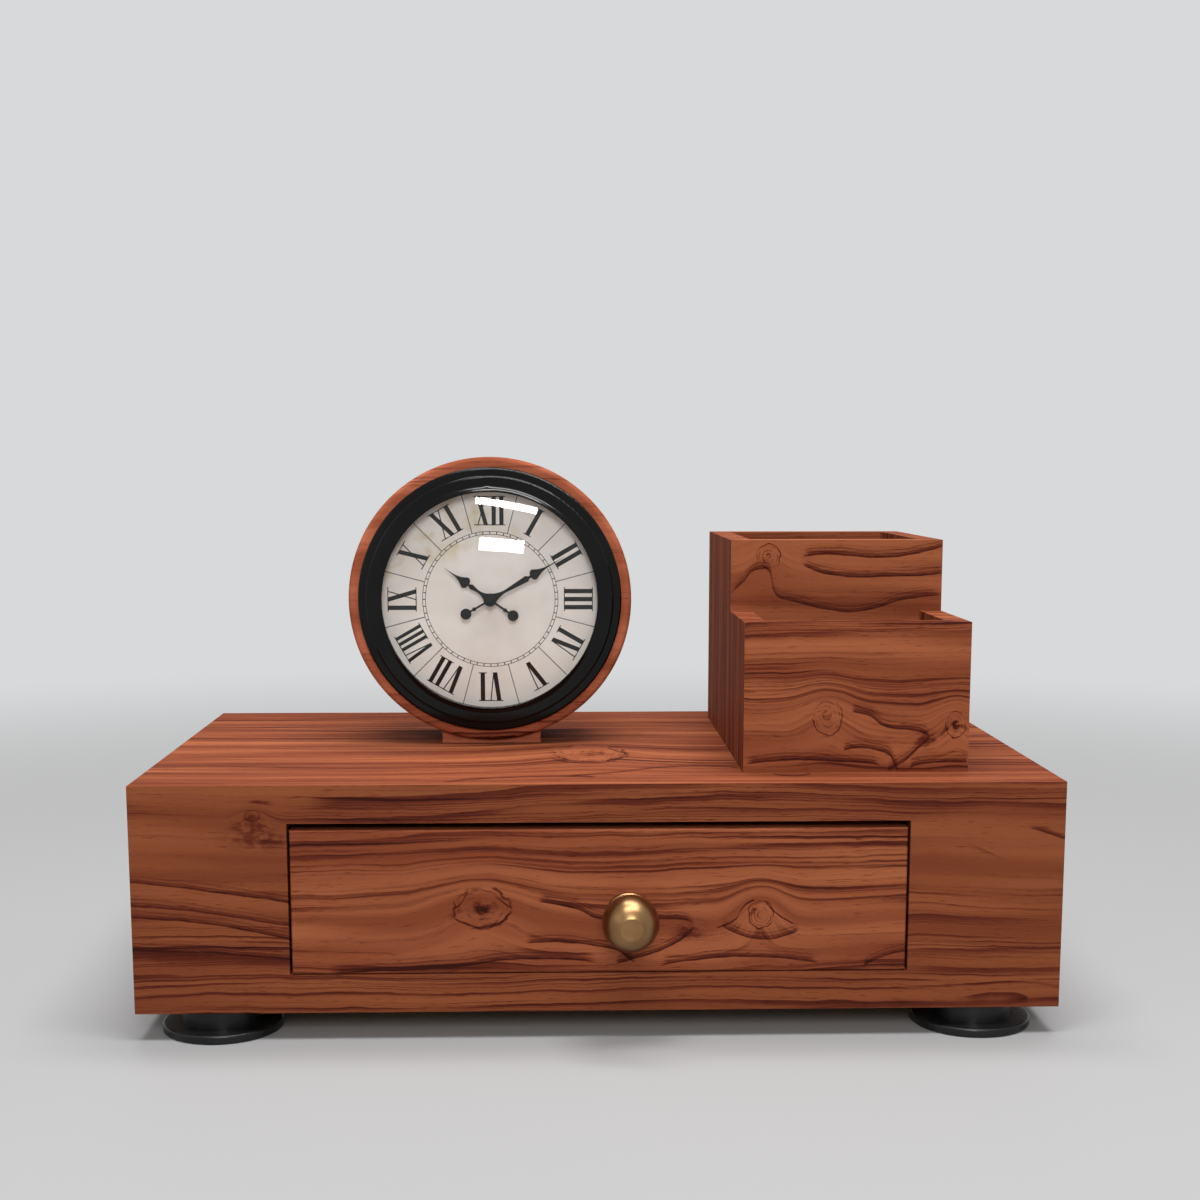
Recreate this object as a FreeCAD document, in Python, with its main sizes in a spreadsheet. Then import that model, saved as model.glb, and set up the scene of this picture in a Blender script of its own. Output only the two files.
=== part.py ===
import FreeCAD, Part
import Sketcher
import math
import os
import re

# Wooden desk organizer: a drawer case on feet that carries a clock and a stepped pen holder.
# Millimetres, +Z up, front towards -Y. The origin is on the floor, below the middle of the whole.

# Driving dimensions

SIZES = {
    # drawer case
    "case_width": 320,
    "case_depth": 177,
    "case_height": 79.6,
    "board": 12,
    "back_thickness": 8,
    "bottom_thickness": 8,
    "rabbet": 7,
    "panel_clearance": 0.2,
    # drawer opening in the front board
    "opening_stile": 53.4,
    "opening_top_rail": 13.2,
    "opening_bottom": 13.4,
    # drawer
    "drawer_side_gap": 0.85,
    "drawer_top_gap": 2.4,
    "drawer_bottom_gap": 0.3,
    "drawer_rear_gap": 0.5,
    "drawer_edge_radius": 0.8,
    "drawer_side_thickness": 8,
    "drawer_side_drop": 10.3,
    "drawer_back_thickness": 8,
    "drawer_back_inset": 8,
    "drawer_bottom_thickness": 4,
    "drawer_groove_height": 4,
    "drawer_groove_depth": 4,
    "drawer_groove_clearance": 0.2,
    "housing_depth": 3,
    "tail_count": 3,
    "tail_length": 8,
    "tail_tip_share": 0.7,
    "tail_root_share": 0.52,
    "drawer_travel": 110,
    "stop_gap": 0.3,
    "stop_length": 12,
    "stop_width": 9,
    "stop_lift": 2,
    "stop_drop": 4,
    # runners below the drawer's sides and kicker strips above them
    "runner_ledge": 11,
    "runner_guide_gap": 0.4,
    "runner_guide_thickness": 8,
    "runner_guide_height": 13,
    "kicker_gap": 0.5,
    "kicker_width": 14,
    # knob
    "knob_projection": 20,
    "knob_radius": 9.7,
    "knob_flat_radius": 3.8,
    "knob_neck_radius": 4.2,
    "knob_base_radius": 8.2,
    "knob_base_height": 1.6,
    "knob_base_round": 0.8,
    "knob_x": 10,
    "knob_drop": 5,
    "knob_bore_depth": 10,
    "knob_screw_length": 20,
    # feet
    "foot_height": 10,
    "foot_flange_radius": 21,
    "foot_flange_height": 3.2,
    "foot_hub_radius": 14,
    "foot_edge_radius": 0.8,
    "foot_side_inset": 27,
    "foot_front_inset": 17,
    "foot_rear_inset": 25,
    "foot_recess_radius": 6,
    "foot_recess_depth": 4.5,
    "foot_screw_length": 12,
    # slotted wood screws
    "screw_radius": 1.5,
    "screw_head_radius": 3,
    "screw_head_height": 2,
    "screw_tip": 3,
    "screw_point_radius": 0.4,
    "screw_slot_width": 0.8,
    "screw_slot_depth": 0.9,
    "screw_clearance": 0.15,
    "screw_hole_margin": 0.5,
    "head_clearance": 0.3,
    "panel_screw_length": 18,
    "bottom_screw_spacing": 35,
    "back_screw_spacing": 150,
    "pen_screw_length": 18,
    "pen_screw_inset": 19,
    "clock_screw_length": 20,
    "clock_screw_spacing": 18,
    "stop_screw_length": 14,
    # pen holder
    "pen_side_inset": 29.3,
    "pen_width": 79.7,
    "pen_setback": 21.1,
    "pen_rear_inset": 17.4,
    "pen_step": 49.2,
    "pen_height": 79.6,
    "pen_low_height": 53,
    "pen_wall": 8,
    "pen_floor_thickness": 8,
    # clock: wooden drum in its cradle
    "clock_share": 0.1245,
    "clock_setback": 88,
    "clock_radius": 54.4,
    "clock_depth": 40,
    "clock_round": 1.8,
    "drum_wall": 9.4,
    "drum_rim": 3.9,
    "cradle_width": 38.2,
    "cradle_setback": 3.5,
    "cradle_depth": 33,
    "cradle_height": 6.5,
    "cradle_land": 1.7,
    "cradle_clearance": 0.1,
    # clock: bezel, glass and dial
    "bezel_flange_width": 3.1,
    "bezel_flange_height": 1.8,
    "bezel_band_width": 4,
    "bezel_band_height": 4.4,
    "bezel_edge_radius": 0.8,
    "bezel_flare_width": 1.9,
    "bezel_flare_radius": 5,
    "bezel_lip_round": 0.3,
    "bezel_lip_thickness": 1.6,
    "bezel_skirt_clearance": 0.2,
    "bezel_skirt_wall": 1.2,
    "bezel_skirt_depth": 11,
    "dial_stack_clearance": 0.1,
    "glass_thickness": 1.6,
    "glass_rise": 6,
    "glass_spacer_wall": 1.6,
    "dial_depth": 2.8,
    "dial_thickness": 0.8,
    "retaining_ring_wall": 2,
    "retaining_ring_height": 2,
    # clock: quartz movement
    "movement_below": 31,
    "movement_above": 25,
    "movement_depth": 18,
    "movement_corner": 5,
    "movement_wall": 1.5,
    "plate_thickness": 1.5,
    "bush_wall": 0.5,
    "bush_clearance": 0.15,
    "dial_foot_radius": 1,
    "dial_foot_length": 1.2,
    "dial_foot_spacing": 40,
    "dial_foot_lift": 15,
    "dial_foot_clearance": 0.1,
    "bay_side_wall": 2,
    "bay_room": 1.4,
    "bay_recess": 0.8,
    "contact_thickness": 0.9,
    "battery_radius": 7.1,
    "battery_length": 49,
    "battery_nub_radius": 2.6,
    "battery_nub_length": 1.2,
    "module_width": 13,
    "module_height": 28,
    "module_thickness": 4,
    # clock: motion work and hands
    "running_clearance": 0.06,
    "arbor_radius": 0.9,
    "arbor_skin": 0.5,
    "arbor_end_gap": 0.2,
    "wheel_distance": 12.5,
    "cannon_teeth": 12,
    "minute_teeth": 36,
    "pinion_teeth": 10,
    "hour_teeth": 40,
    "tooth_addendum": 0.85,
    "tooth_dedendum": 1.35,
    "tooth_slope": 20,
    "tooth_backlash": 0.16,
    "wheel_thickness": 1.2,
    "wheel_gap": 0.6,
    "pipe_wall": 0.6,
    "hand_thickness": 0.5,
    "hour_hand_height": 2.7,
    "minute_hand_height": 4.2,
    "hand_fit": 0.04,
    "hand_boss_radius": 2.5,
    "hand_flare_angle": 20,
    "hand_tail": 10.7,
    "hand_tail_radius": 2.1,
    "hand_tail_half_width": 0.38,
    "hand_tail_bead": 7,
    "hand_bead_radius": 0.75,
    "hand_bead_half_length": 0.65,
    "hand_collar_half_length": 0.8,
    "hand_neck_half_width": 0.5,
    "hand_shoulder_length": 1.9,
    "hand_shoulder_radius": 1.5,
    "hand_tip_half_width": 0.25,
    "hour_hand_length": 21.5,
    "hour_waist_place": 6,
    "hour_waist_half_width": 0.5,
    "hour_flare_radius": 7,
    "hour_collar_place": 8.8,
    "hour_collar_half_width": 1,
    "hour_spade_place": 12,
    "hour_spade_half_width": 2.15,
    "hour_tip_place": 17,
    "hour_tip_radius": 9,
    "minute_hand_length": 33,
    "minute_waist_place": 8.5,
    "minute_waist_half_width": 0.65,
    "minute_flare_radius": 11,
    "minute_collar_place": 16.4,
    "minute_collar_half_width": 1.2,
    "minute_spade_place": 20,
    "minute_spade_half_width": 2,
    "minute_tip_place": 26,
    "minute_tip_radius": 12,
    "hour_angle": 305,
    "minute_angle": 60,
    "cap_radius": 1.7,
    "cap_height": 1,
    "cap_bore": 0.6,
    "cap_flat_radius": 0.85,
    "cap_round": 1.7,
    "set_knob_radius": 6,
    "set_knob_height": 4,
    "set_knob_bore": 2.5,
    "set_knob_gap": 0.8,
    "set_knob_flutes": 18,
    "set_knob_flute_radius": 0.6,
}

# Places worked out from the driving dimensions, as formulas

DERIVED = {
    "case_under": "foot_height",
    "case_over": "foot_height + case_height",
    "case_front": "(knob_projection - case_depth) / 2",
    "case_back": "case_front + case_depth",
    "inside_front": "case_front + board",
    "inside_back": "case_back - back_thickness",
    "inside_half": "case_width / 2 - board",
    "inside_over": "case_over - board",
    "panel_half": "inside_half + rabbet",
    "ledge_middle": "inside_half + rabbet / 2",
    "bottom_over": "case_under + bottom_thickness",
    "opening_half": "case_width / 2 - opening_stile",
    "opening_under": "case_under + opening_bottom",
    "opening_over": "case_over - opening_top_rail",
    "drawer_half": "opening_half - drawer_side_gap",
    "drawer_under": "opening_under + drawer_bottom_gap",
    "drawer_over": "opening_over - drawer_top_gap",
    "drawer_end": "inside_back - drawer_rear_gap",
    "drawer_side_over": "drawer_over - drawer_side_drop",
    "tail_pitch": "(drawer_side_over - drawer_under) / tail_count",
    "tail_tip_width": "tail_pitch * tail_tip_share",
    "tail_root_width": "tail_pitch * tail_root_share",
    "drawer_inner_half": "drawer_half - drawer_side_thickness",
    "drawer_back_face": "drawer_end - drawer_back_inset",
    "drawer_back_front": "drawer_back_face - drawer_back_thickness",
    "groove_under": "drawer_under + drawer_groove_height",
    "groove_over": "groove_under + drawer_bottom_thickness + drawer_groove_clearance",
    "stop_front": "inside_front + drawer_travel + stop_gap",
    "stop_under": "drawer_under + runner_guide_height + stop_lift",
    "stop_over": "drawer_side_over - stop_drop",
    "guide_inner": "drawer_half + runner_guide_gap",
    "knob_level": "(drawer_under + drawer_over) / 2 - knob_drop",
    "foot_x": "case_width / 2 - foot_side_inset",
    "foot_front_y": "case_front + foot_front_inset",
    "foot_rear_y": "case_back - foot_rear_inset",
    "screw_bore": "screw_radius + screw_clearance",
    "pen_right": "case_width / 2 - pen_side_inset",
    "pen_left": "pen_right - pen_width",
    "pen_front_face": "case_front + pen_setback",
    "pen_back_face": "case_back - pen_rear_inset",
    "pen_depth": "pen_back_face - pen_front_face",
    "pen_step_face": "pen_front_face + pen_step",
    "pen_low_over": "case_over + pen_low_height",
    "pen_floor_over": "case_over + pen_floor_thickness",
    "clock_x": "-case_width * clock_share",
    "clock_axis": "case_over + cradle_land + clock_radius",
    "clock_front": "case_front + clock_setback",
    "cradle_front": "clock_front + cradle_setback",
    "cradle_middle": "cradle_front + cradle_depth / 2",
    "clock_bore_radius": "clock_radius - drum_wall",
    "bezel_radius": "clock_radius - drum_rim",
    "bezel_band_radius": "bezel_radius - bezel_flange_width",
    "bezel_flare_start": "bezel_band_radius - bezel_band_width",
    "bezel_crest_radius": "bezel_flare_start - bezel_flare_width",
    "bezel_flare_rise": "bezel_flare_radius - sqrt(bezel_flare_radius ^ 2 - bezel_flare_width ^ 2)",
    "bezel_crest_height": "bezel_band_height + bezel_flare_rise",
    "bezel_lip_radius": "bezel_crest_radius - bezel_lip_round",
    "skirt_radius": "clock_bore_radius - bezel_skirt_clearance",
    "skirt_bore": "skirt_radius - bezel_skirt_wall",
    "stack_radius": "skirt_bore - dial_stack_clearance",
    "lip_back": "bezel_crest_height - bezel_lip_thickness",
    "glass_back": "lip_back - glass_thickness",
    "glass_sphere": "(bezel_lip_radius ^ 2 + glass_rise ^ 2) / (2 * glass_rise)",
    "dial_front": "-dial_depth",
    "dial_back": "dial_front - dial_thickness",
    "plate_back": "dial_back - plate_thickness",
    "movement_back": "dial_back - movement_depth",
    "cavity_back": "movement_back + movement_wall",
    "bay_width": "battery_length + battery_nub_length + 2 * contact_thickness",
    "bay_height": "2 * battery_radius + bay_room",
    "bay_depth": "2 * battery_radius + bay_recess",
    "movement_width": "bay_width + 2 * bay_side_wall",
    "bay_under": "movement_wall - movement_below",
    "bay_over": "bay_under + bay_height",
    "battery_level": "bay_under + bay_height / 2",
    "battery_place": "movement_back + bay_depth / 2",
    "pipe_bore": "arbor_radius + running_clearance",
    "pipe_radius": "pipe_bore + pipe_wall",
    "bush_bore": "pipe_radius + running_clearance",
    "bush_radius": "bush_bore + bush_wall",
    "hour_wheel_front": "plate_back - wheel_gap",
    "hour_wheel_back": "hour_wheel_front - wheel_thickness",
    "minute_wheel_front": "hour_wheel_back - wheel_gap",
    "minute_wheel_back": "minute_wheel_front - wheel_thickness",
    "fast_module": "2 * wheel_distance / (cannon_teeth + minute_teeth)",
    "slow_module": "2 * wheel_distance / (pinion_teeth + hour_teeth)",
    "hour_hand_back": "dial_front + hour_hand_height",
    "minute_hand_back": "dial_front + minute_hand_height",
    "minute_hand_front": "minute_hand_back + hand_thickness",
    "set_knob_front": "movement_back - set_knob_gap",
}

doc = FreeCAD.newDocument("desk_organizer")
sheet = doc.addObject("Spreadsheet::Sheet", "sizes")
for row, (alias, number) in enumerate(SIZES.items(), start=1):
    sheet.set(f"A{row}", alias.replace("_", " "))
    sheet.set(f"B{row}", str(number))
    sheet.setAlias(f"B{row}", alias)
doc.recompute()

PARTS = []
VECTOR = FreeCAD.Vector
FACING = {
    "up": FreeCAD.Rotation(),
    "front": FreeCAD.Rotation(VECTOR(1, 0, 0), 90),
    "right": FreeCAD.Rotation(VECTOR(0, 1, 0), 90),
    "left": FreeCAD.Rotation(VECTOR(0, 1, 0), -90),
}


# Helpers that bind sizes to the sheet

def formula(text):
    """Spell out derived places and point every size at the sheet."""
    def spell(match):
        word = match.group(0)
        if word in DERIVED:
            return "(" + formula(DERIVED[word]) + ")"
        if word in SIZES:
            return "sizes." + word
        return word
    return re.sub(r"[a-z][a-z_]*", spell, text)


def value(text):
    """The number that a formula gives now."""
    return float(sheet.evalExpression(formula(text)))


def bind(thing, **formulas):
    """Bind properties of an object to formulas."""
    for name, text in formulas.items():
        thing.setExpression(name, formula(text))


def place(thing, at, facing="up"):
    """Turn an object's own Z axis to a direction and bind its place to three formulas."""
    thing.Placement = FreeCAD.Placement(VECTOR(), FACING[facing])
    for axis, text in zip("xyz", at):
        thing.setExpression("Placement.Base." + axis, formula(text))
    return thing


def part(label, thing):
    """Name a finished piece and keep it for the files."""
    thing.Label = label
    PARTS.append(thing)
    return thing


# Helpers that make simple solids and join them

def mirrored(sign, near, far):
    """A span on the right, or its mirror image on the left where the sign is a minus."""
    if sign:
        return (f"-({far})", f"-({near})")
    return (near, far)


def box(name, x, y, z):
    """A block between two formulas along each axis."""
    block = doc.addObject("Part::Box", name)
    for size, (low, high) in zip(("Length", "Width", "Height"), (x, y, z)):
        block.setExpression(size, formula(f"({high}) - ({low})"))
    return place(block, (x[0], y[0], z[0]))


def rod(name, radius, length, start="0"):
    """A round bar along Z that begins at a height."""
    bar = doc.addObject("Part::Cylinder", name)
    bind(bar, Radius=radius, Height=length)
    return place(bar, ("0", "0", start))


def mitred(name, outer_x, outer_z, inner_x, inner_z, thickness):
    """A board whose outer face lies at Y 0 and whose edges run in to a smaller or equal inner face."""
    board = doc.addObject("Part::Wedge", name)
    bind(board, Xmin=outer_x[0], Xmax=outer_x[1], Zmin=outer_z[0], Zmax=outer_z[1])
    bind(board, X2min=inner_x[0], X2max=inner_x[1], Z2min=inner_z[0], Z2max=inner_z[1])
    bind(board, Ymin="0", Ymax=thickness)
    return board


def fuse(name, pieces):
    """Join solids into one."""
    whole = doc.addObject("Part::MultiFuse", name)
    whole.Shapes = pieces
    return whole


def cut(name, base, tools):
    """Take tools away from a solid."""
    rest = doc.addObject("Part::Cut", name)
    rest.Base = base
    rest.Tool = tools[0] if len(tools) == 1 else fuse(name + "_tools", tools)
    return rest


def group(name, pieces):
    """Several separate solids in one piece's file."""
    several = doc.addObject("Part::Compound", name)
    several.Links = pieces
    return several


# Helpers that draw outlines and turn or raise them

def add_side(sketch, begin, end, bend):
    """Add a straight side, or an arc that bulges to the right of its way where bend is positive."""
    if bend == 0:
        return sketch.addGeometry(Part.LineSegment(begin, end), False), 1, 2
    chord = end - begin
    sagitta_side = VECTOR(-chord.y, chord.x, 0).normalize()
    reach = math.sqrt(max(bend * bend - chord.Length ** 2 / 4, 0))
    middle = (begin + end) / 2 + sagitta_side * math.copysign(reach, bend)
    circle = Part.Circle(middle, VECTOR(0, 0, 1), abs(bend))
    first, last = (begin, end) if bend > 0 else (end, begin)
    arc = Part.ArcOfCircle(circle, circle.parameter(first), circle.parameter(last))
    side = sketch.addGeometry(arc, False)
    return (side, 1, 2) if bend > 0 else (side, 2, 1)


def pin_corner(sketch, side, end, across, up):
    """Bind a corner of an outline to two formulas."""
    for kind, axis, text in (("DistanceX", -2, across), ("DistanceY", -1, up)):
        if text == "0":
            sketch.addConstraint(Sketcher.Constraint("PointOnObject", side, end, axis))
            continue
        number = sketch.addConstraint(Sketcher.Constraint(kind, -1, 1, side, end, value(text)))
        sketch.setExpression(f"Constraints[{number}]", formula(text))


def draw(sketch, corners, hole=None):
    """Draw a closed outline through (across, up, bend) corners, with a round hole about the origin."""
    points = [VECTOR(value(corner[0]), value(corner[1]), 0) for corner in corners]
    bends = [corner[2] if len(corner) == 3 else "0" for corner in corners]
    sides = []
    for number, bend in enumerate(bends):
        sides.append(add_side(sketch, points[number - 1], points[number], value(bend)))
    for number, (side, start, end) in enumerate(sides):
        after, after_start, _ = sides[(number + 1) % len(sides)]
        sketch.addConstraint(Sketcher.Constraint("Coincident", side, end, after, after_start))
        pin_corner(sketch, side, end, corners[number][0], corners[number][1])
        if bends[number] != "0":
            radius = sketch.addConstraint(Sketcher.Constraint("Radius", side, abs(value(bends[number]))))
            sketch.setExpression(f"Constraints[{radius}]", formula(bends[number].lstrip("-")))
    if hole:
        circle = Part.Circle(VECTOR(0, 0, 0), VECTOR(0, 0, 1), value(hole))
        ring = sketch.addGeometry(circle, False)
        sketch.addConstraint(Sketcher.Constraint("Coincident", ring, 3, -1, 1))
        radius = sketch.addConstraint(Sketcher.Constraint("Radius", ring, value(hole)))
        sketch.setExpression(f"Constraints[{radius}]", formula(hole))


def sketch_in(body, plane_role):
    """A new sketch on one of a body's own origin planes."""
    sketch = body.newObject("Sketcher::SketchObject", body.Name + "_outline")
    plane = [plane for plane in body.Origin.OriginFeatures if plane.Role == plane_role][0]
    sketch.AttachmentSupport = [(plane, "")]
    sketch.MapMode = "FlatFace"
    return sketch


def turned(name, corners):
    """A piece turned about Z from an outline of (radius, height) corners."""
    body = doc.addObject("PartDesign::Body", name)
    sketch = sketch_in(body, "XZ_Plane")
    draw(sketch, corners)
    spin = body.newObject("PartDesign::Revolution", name + "_spin")
    spin.Profile = sketch
    spin.ReferenceAxis = (sketch, ["V_Axis"])
    spin.Angle = 360
    return body


def raised(name, corners, height, plane_role="XY_Plane", hole=None):
    """A piece raised square from an outline."""
    body = doc.addObject("PartDesign::Body", name)
    sketch = sketch_in(body, plane_role)
    draw(sketch, corners, hole)
    pad = body.newObject("PartDesign::Pad", name + "_pad")
    pad.Profile = sketch
    bind(pad, Length=height)
    return body


def rounded_rectangle(left, right, low, high, corner):
    """Corners of a rectangle with round corners, anticlockwise."""
    return [
        (f"{right} - {corner}", low),
        (right, f"{low} + {corner}", corner),
        (right, f"{high} - {corner}"),
        (f"{right} - {corner}", high, corner),
        (f"{left} + {corner}", high),
        (left, f"{high} - {corner}", corner),
        (left, f"{low} + {corner}"),
        (f"{left} + {corner}", low, corner),
    ]


# Screws and the holes that take them

def screw(name, at, facing, length):
    """A slotted pan-head screw: its head's seat is at a place and its shank runs in one direction."""
    shank_end = f"{length} - screw_tip"
    head = rod(name + "_head", "screw_head_radius", "screw_head_height", "-screw_head_height")
    shank = rod(name + "_shank", "screw_radius", shank_end)
    tip = doc.addObject("Part::Cone", name + "_tip")
    bind(tip, Radius1="screw_radius", Radius2="screw_point_radius", Height="screw_tip")
    place(tip, ("0", "0", shank_end))
    reach = "screw_head_radius + screw_hole_margin"
    slot = box(
        name + "_slot",
        (f"-({reach})", reach),
        ("-screw_slot_width / 2", "screw_slot_width / 2"),
        ("-screw_head_height - screw_slot_depth", "-screw_head_height + screw_slot_depth"),
    )
    whole = cut(name, fuse(name + "_blank", [head, shank, tip]), [slot])
    return place(whole, at, facing)


def drill(name, at, facing, length):
    """The hole for a screw, starting a little before the head's seat."""
    hole = rod(name, "screw_bore", f"{length} + 2 * screw_hole_margin")
    return place(hole, at, facing)


def start_of(at, facing, back_by):
    """A place moved backwards along a direction."""
    x, y, z = at
    if facing == "up":
        return x, y, f"({z}) - ({back_by})"
    if facing == "front":
        return x, f"({y}) + ({back_by})", z
    if facing == "left":
        return f"({x}) + ({back_by})", y, z
    return f"({x}) - ({back_by})", y, z


def fasten(label, places, facing, length):
    """A row of equal screws as one piece; returns the holes that its boards need."""
    screws = []
    holes = []
    for number, at in enumerate(places):
        screws.append(screw(f"{label}_{number}", at, facing, length))
        start = start_of(at, facing, "screw_hole_margin")
        holes.append(drill(f"{label}_hole_{number}", start, facing, length))
    part(label, group(label, screws))
    return holes


# Fasteners of the case

FOOT_PLACES = {
    "front_left": ("-foot_x", "foot_front_y"),
    "front_right": ("foot_x", "foot_front_y"),
    "rear_left": ("-foot_x", "foot_rear_y"),
    "rear_right": ("foot_x", "foot_rear_y"),
}
foot_holes = fasten(
    "foot_screws",
    [(x, y, "foot_recess_depth") for x, y in FOOT_PLACES.values()],
    "up",
    "foot_screw_length",
)

bottom_screw_places = []
back_screw_places = []
for sign in ("-", ""):
    edge = f"{sign}ledge_middle"
    for step in (-1, 0, 1):
        along = f"(inside_front + inside_back) / 2 + {step} * bottom_screw_spacing"
        bottom_screw_places.append((edge, along, "case_under"))
    seat = "case_back - screw_head_height"
    back_screw_places.append((f"{sign}back_screw_spacing / 2", seat, "inside_over + rabbet / 2"))
    back_screw_places.append((edge, seat, "case_under + case_height / 2"))
bottom_holes = fasten("case_bottom_screws", bottom_screw_places, "up", "panel_screw_length")
back_holes = fasten("case_back_screws", back_screw_places, "front", "panel_screw_length")
back_head_recesses = []
for number, at in enumerate(back_screw_places):
    recess_radius = "screw_head_radius + head_clearance"
    recess = rod(f"back_head_recess_{number}", recess_radius, "screw_head_height + board")
    back_head_recesses.append(place(recess, (at[0], "case_back + board", at[2]), "front"))

pen_screw_places = []
for x in ("pen_left + pen_screw_inset", "pen_right - pen_screw_inset"):
    for y in ("pen_front_face + pen_screw_inset", "pen_back_face - pen_screw_inset"):
        pen_screw_places.append((x, y, "inside_over"))
pen_holes = fasten("pen_holder_screws", pen_screw_places, "up", "pen_screw_length")

clock_screw_places = []
for sign in ("-", "+"):
    clock_screw_places.append(("clock_x", f"cradle_middle {sign} clock_screw_spacing / 2", "inside_over"))
clock_holes = fasten("clock_screws", clock_screw_places, "up", "clock_screw_length")

# Drawer case: four mitred boards, with the back and bottom panels set into rabbets

FULL_WIDTH = ("-case_width / 2", "case_width / 2")
INSIDE_WIDTH = ("-inside_half", "inside_half")
FULL_HEIGHT = ("0", "case_height")
UNDER_TOP = ("0", "case_height - board")

bottom_rabbet = box(
    "bottom_rabbet",
    ("-panel_half - panel_clearance", "panel_half + panel_clearance"),
    ("inside_front - rabbet - panel_clearance", "inside_back"),
    ("case_under - board", "bottom_over"),
)
back_rabbet = box(
    "back_rabbet",
    ("-panel_half - panel_clearance", "panel_half + panel_clearance"),
    ("inside_back", "case_back + board"),
    ("case_under - board", "inside_over + rabbet + panel_clearance"),
)
opening = box(
    "drawer_opening",
    ("-opening_half", "opening_half"),
    ("case_front - board", "inside_front + board"),
    ("opening_under", "opening_over"),
)

front_blank = place(
    mitred("front_blank", FULL_WIDTH, FULL_HEIGHT, INSIDE_WIDTH, UNDER_TOP, "board"),
    ("0", "case_front", "case_under"),
)
part("case_front", cut("case_front", front_blank, [opening, bottom_rabbet] + bottom_holes))

top_blank = place(
    mitred("top_blank", FULL_WIDTH, ("0", "case_depth"), INSIDE_WIDTH, ("board", "case_depth"), "board"),
    ("0", "case_front", "case_over"),
)
top_blank.Placement.Rotation = FreeCAD.Rotation(VECTOR(1, 0, 0), -90)
part("case_top", cut("case_top", top_blank, [back_rabbet] + back_holes + pen_holes + clock_holes))

for side, turn, outer, inner, x in (
    ("left", -90, ("-case_depth", "0"), ("-case_depth", "-board"), "-case_width / 2"),
    ("right", 90, ("0", "case_depth"), ("board", "case_depth"), "case_width / 2"),
):
    blank = place(
        mitred(f"{side}_side_blank", outer, FULL_HEIGHT, inner, UNDER_TOP, "board"),
        (x, "case_front", "case_under"),
    )
    blank.Placement.Rotation = FreeCAD.Rotation(VECTOR(0, 0, 1), turn)
    tools = [back_rabbet, bottom_rabbet] + bottom_holes + back_holes
    part(f"case_{side}_side", cut(f"case_{side}_side", blank, tools))

back_blank = box(
    "back_blank",
    ("-panel_half", "panel_half"),
    ("inside_back", "case_back"),
    ("case_under", "inside_over + rabbet"),
)
part("case_back", cut("case_back", back_blank, back_holes + back_head_recesses))

bottom_blank = box(
    "bottom_blank",
    ("-panel_half", "panel_half"),
    ("inside_front - rabbet", "inside_back - panel_clearance"),
    ("case_under", "bottom_over"),
)
part("case_bottom", cut("case_bottom", bottom_blank, foot_holes + bottom_holes))

# Feet: a wide flange below a round hub, with a recess for the screw's head

FOOT_OUTLINE = [
    ("foot_recess_radius", "0"),
    ("foot_flange_radius - foot_edge_radius", "0"),
    ("foot_flange_radius", "foot_edge_radius", "foot_edge_radius"),
    ("foot_flange_radius", "foot_flange_height - foot_edge_radius"),
    ("foot_flange_radius - foot_edge_radius", "foot_flange_height", "foot_edge_radius"),
    ("foot_hub_radius", "foot_flange_height"),
    ("foot_hub_radius", "foot_height"),
    ("screw_bore", "foot_height"),
    ("screw_bore", "foot_recess_depth"),
    ("foot_recess_radius", "foot_recess_depth"),
]
for corner, (x, y) in FOOT_PLACES.items():
    foot = turned(f"foot_{corner}", FOOT_OUTLINE)
    part(f"foot_{corner}", place(foot, (x, y, "0")))

# Runners that carry and guide the drawer, and kicker strips above its sides

for side, sign in (("left", "-"), ("right", "")):
    inner = "drawer_half - runner_ledge"
    outer = "guide_inner + runner_guide_thickness"
    spans = {
        "ledge": ((inner, outer), ("bottom_over", "drawer_under")),
        "guide": (("guide_inner", outer), ("drawer_under", "drawer_under + runner_guide_height")),
        "kicker": (
            ("drawer_half - kicker_width", "drawer_half"),
            ("drawer_side_over + kicker_gap", "inside_over"),
        ),
    }
    bars = {}
    for name, ((near, far), z) in spans.items():
        x = mirrored(sign, near, far)
        bars[name] = box(f"{side}_{name}", x, ("inside_front", "inside_back - panel_clearance"), z)
    part(f"drawer_runner_{side}", fuse(f"drawer_runner_{side}", [bars["ledge"], bars["guide"]]))
    part(f"drawer_kicker_{side}", bars["kicker"])

# Drawer: dovetailed sides, a back housed between them and a bottom panel in grooves

knob_screw_holes = fasten(
    "knob_screw", [("knob_x", "inside_front", "knob_level")], "front", "knob_screw_length"
)
bottom_groove = box(
    "drawer_bottom_groove",
    ("-drawer_inner_half - drawer_groove_depth", "drawer_inner_half + drawer_groove_depth"),
    ("inside_front - drawer_groove_depth", "drawer_end + board"),
    ("groove_under", "groove_over"),
)

tails = {"left": [], "right": []}
for side, sign in (("left", "-"), ("right", "")):
    x = mirrored(sign, "drawer_inner_half", "drawer_half")
    for number in range(int(SIZES["tail_count"])):
        tail = mitred(
            f"{side}_tail_{number}",
            x,
            ("-tail_tip_width / 2", "tail_tip_width / 2"),
            x,
            ("-tail_root_width / 2", "tail_root_width / 2"),
            "tail_length",
        )
        level = f"drawer_under + tail_pitch * ({number} + 0.5)"
        tails[side].append(place(tail, ("0", "inside_front - tail_length", level)))

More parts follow.
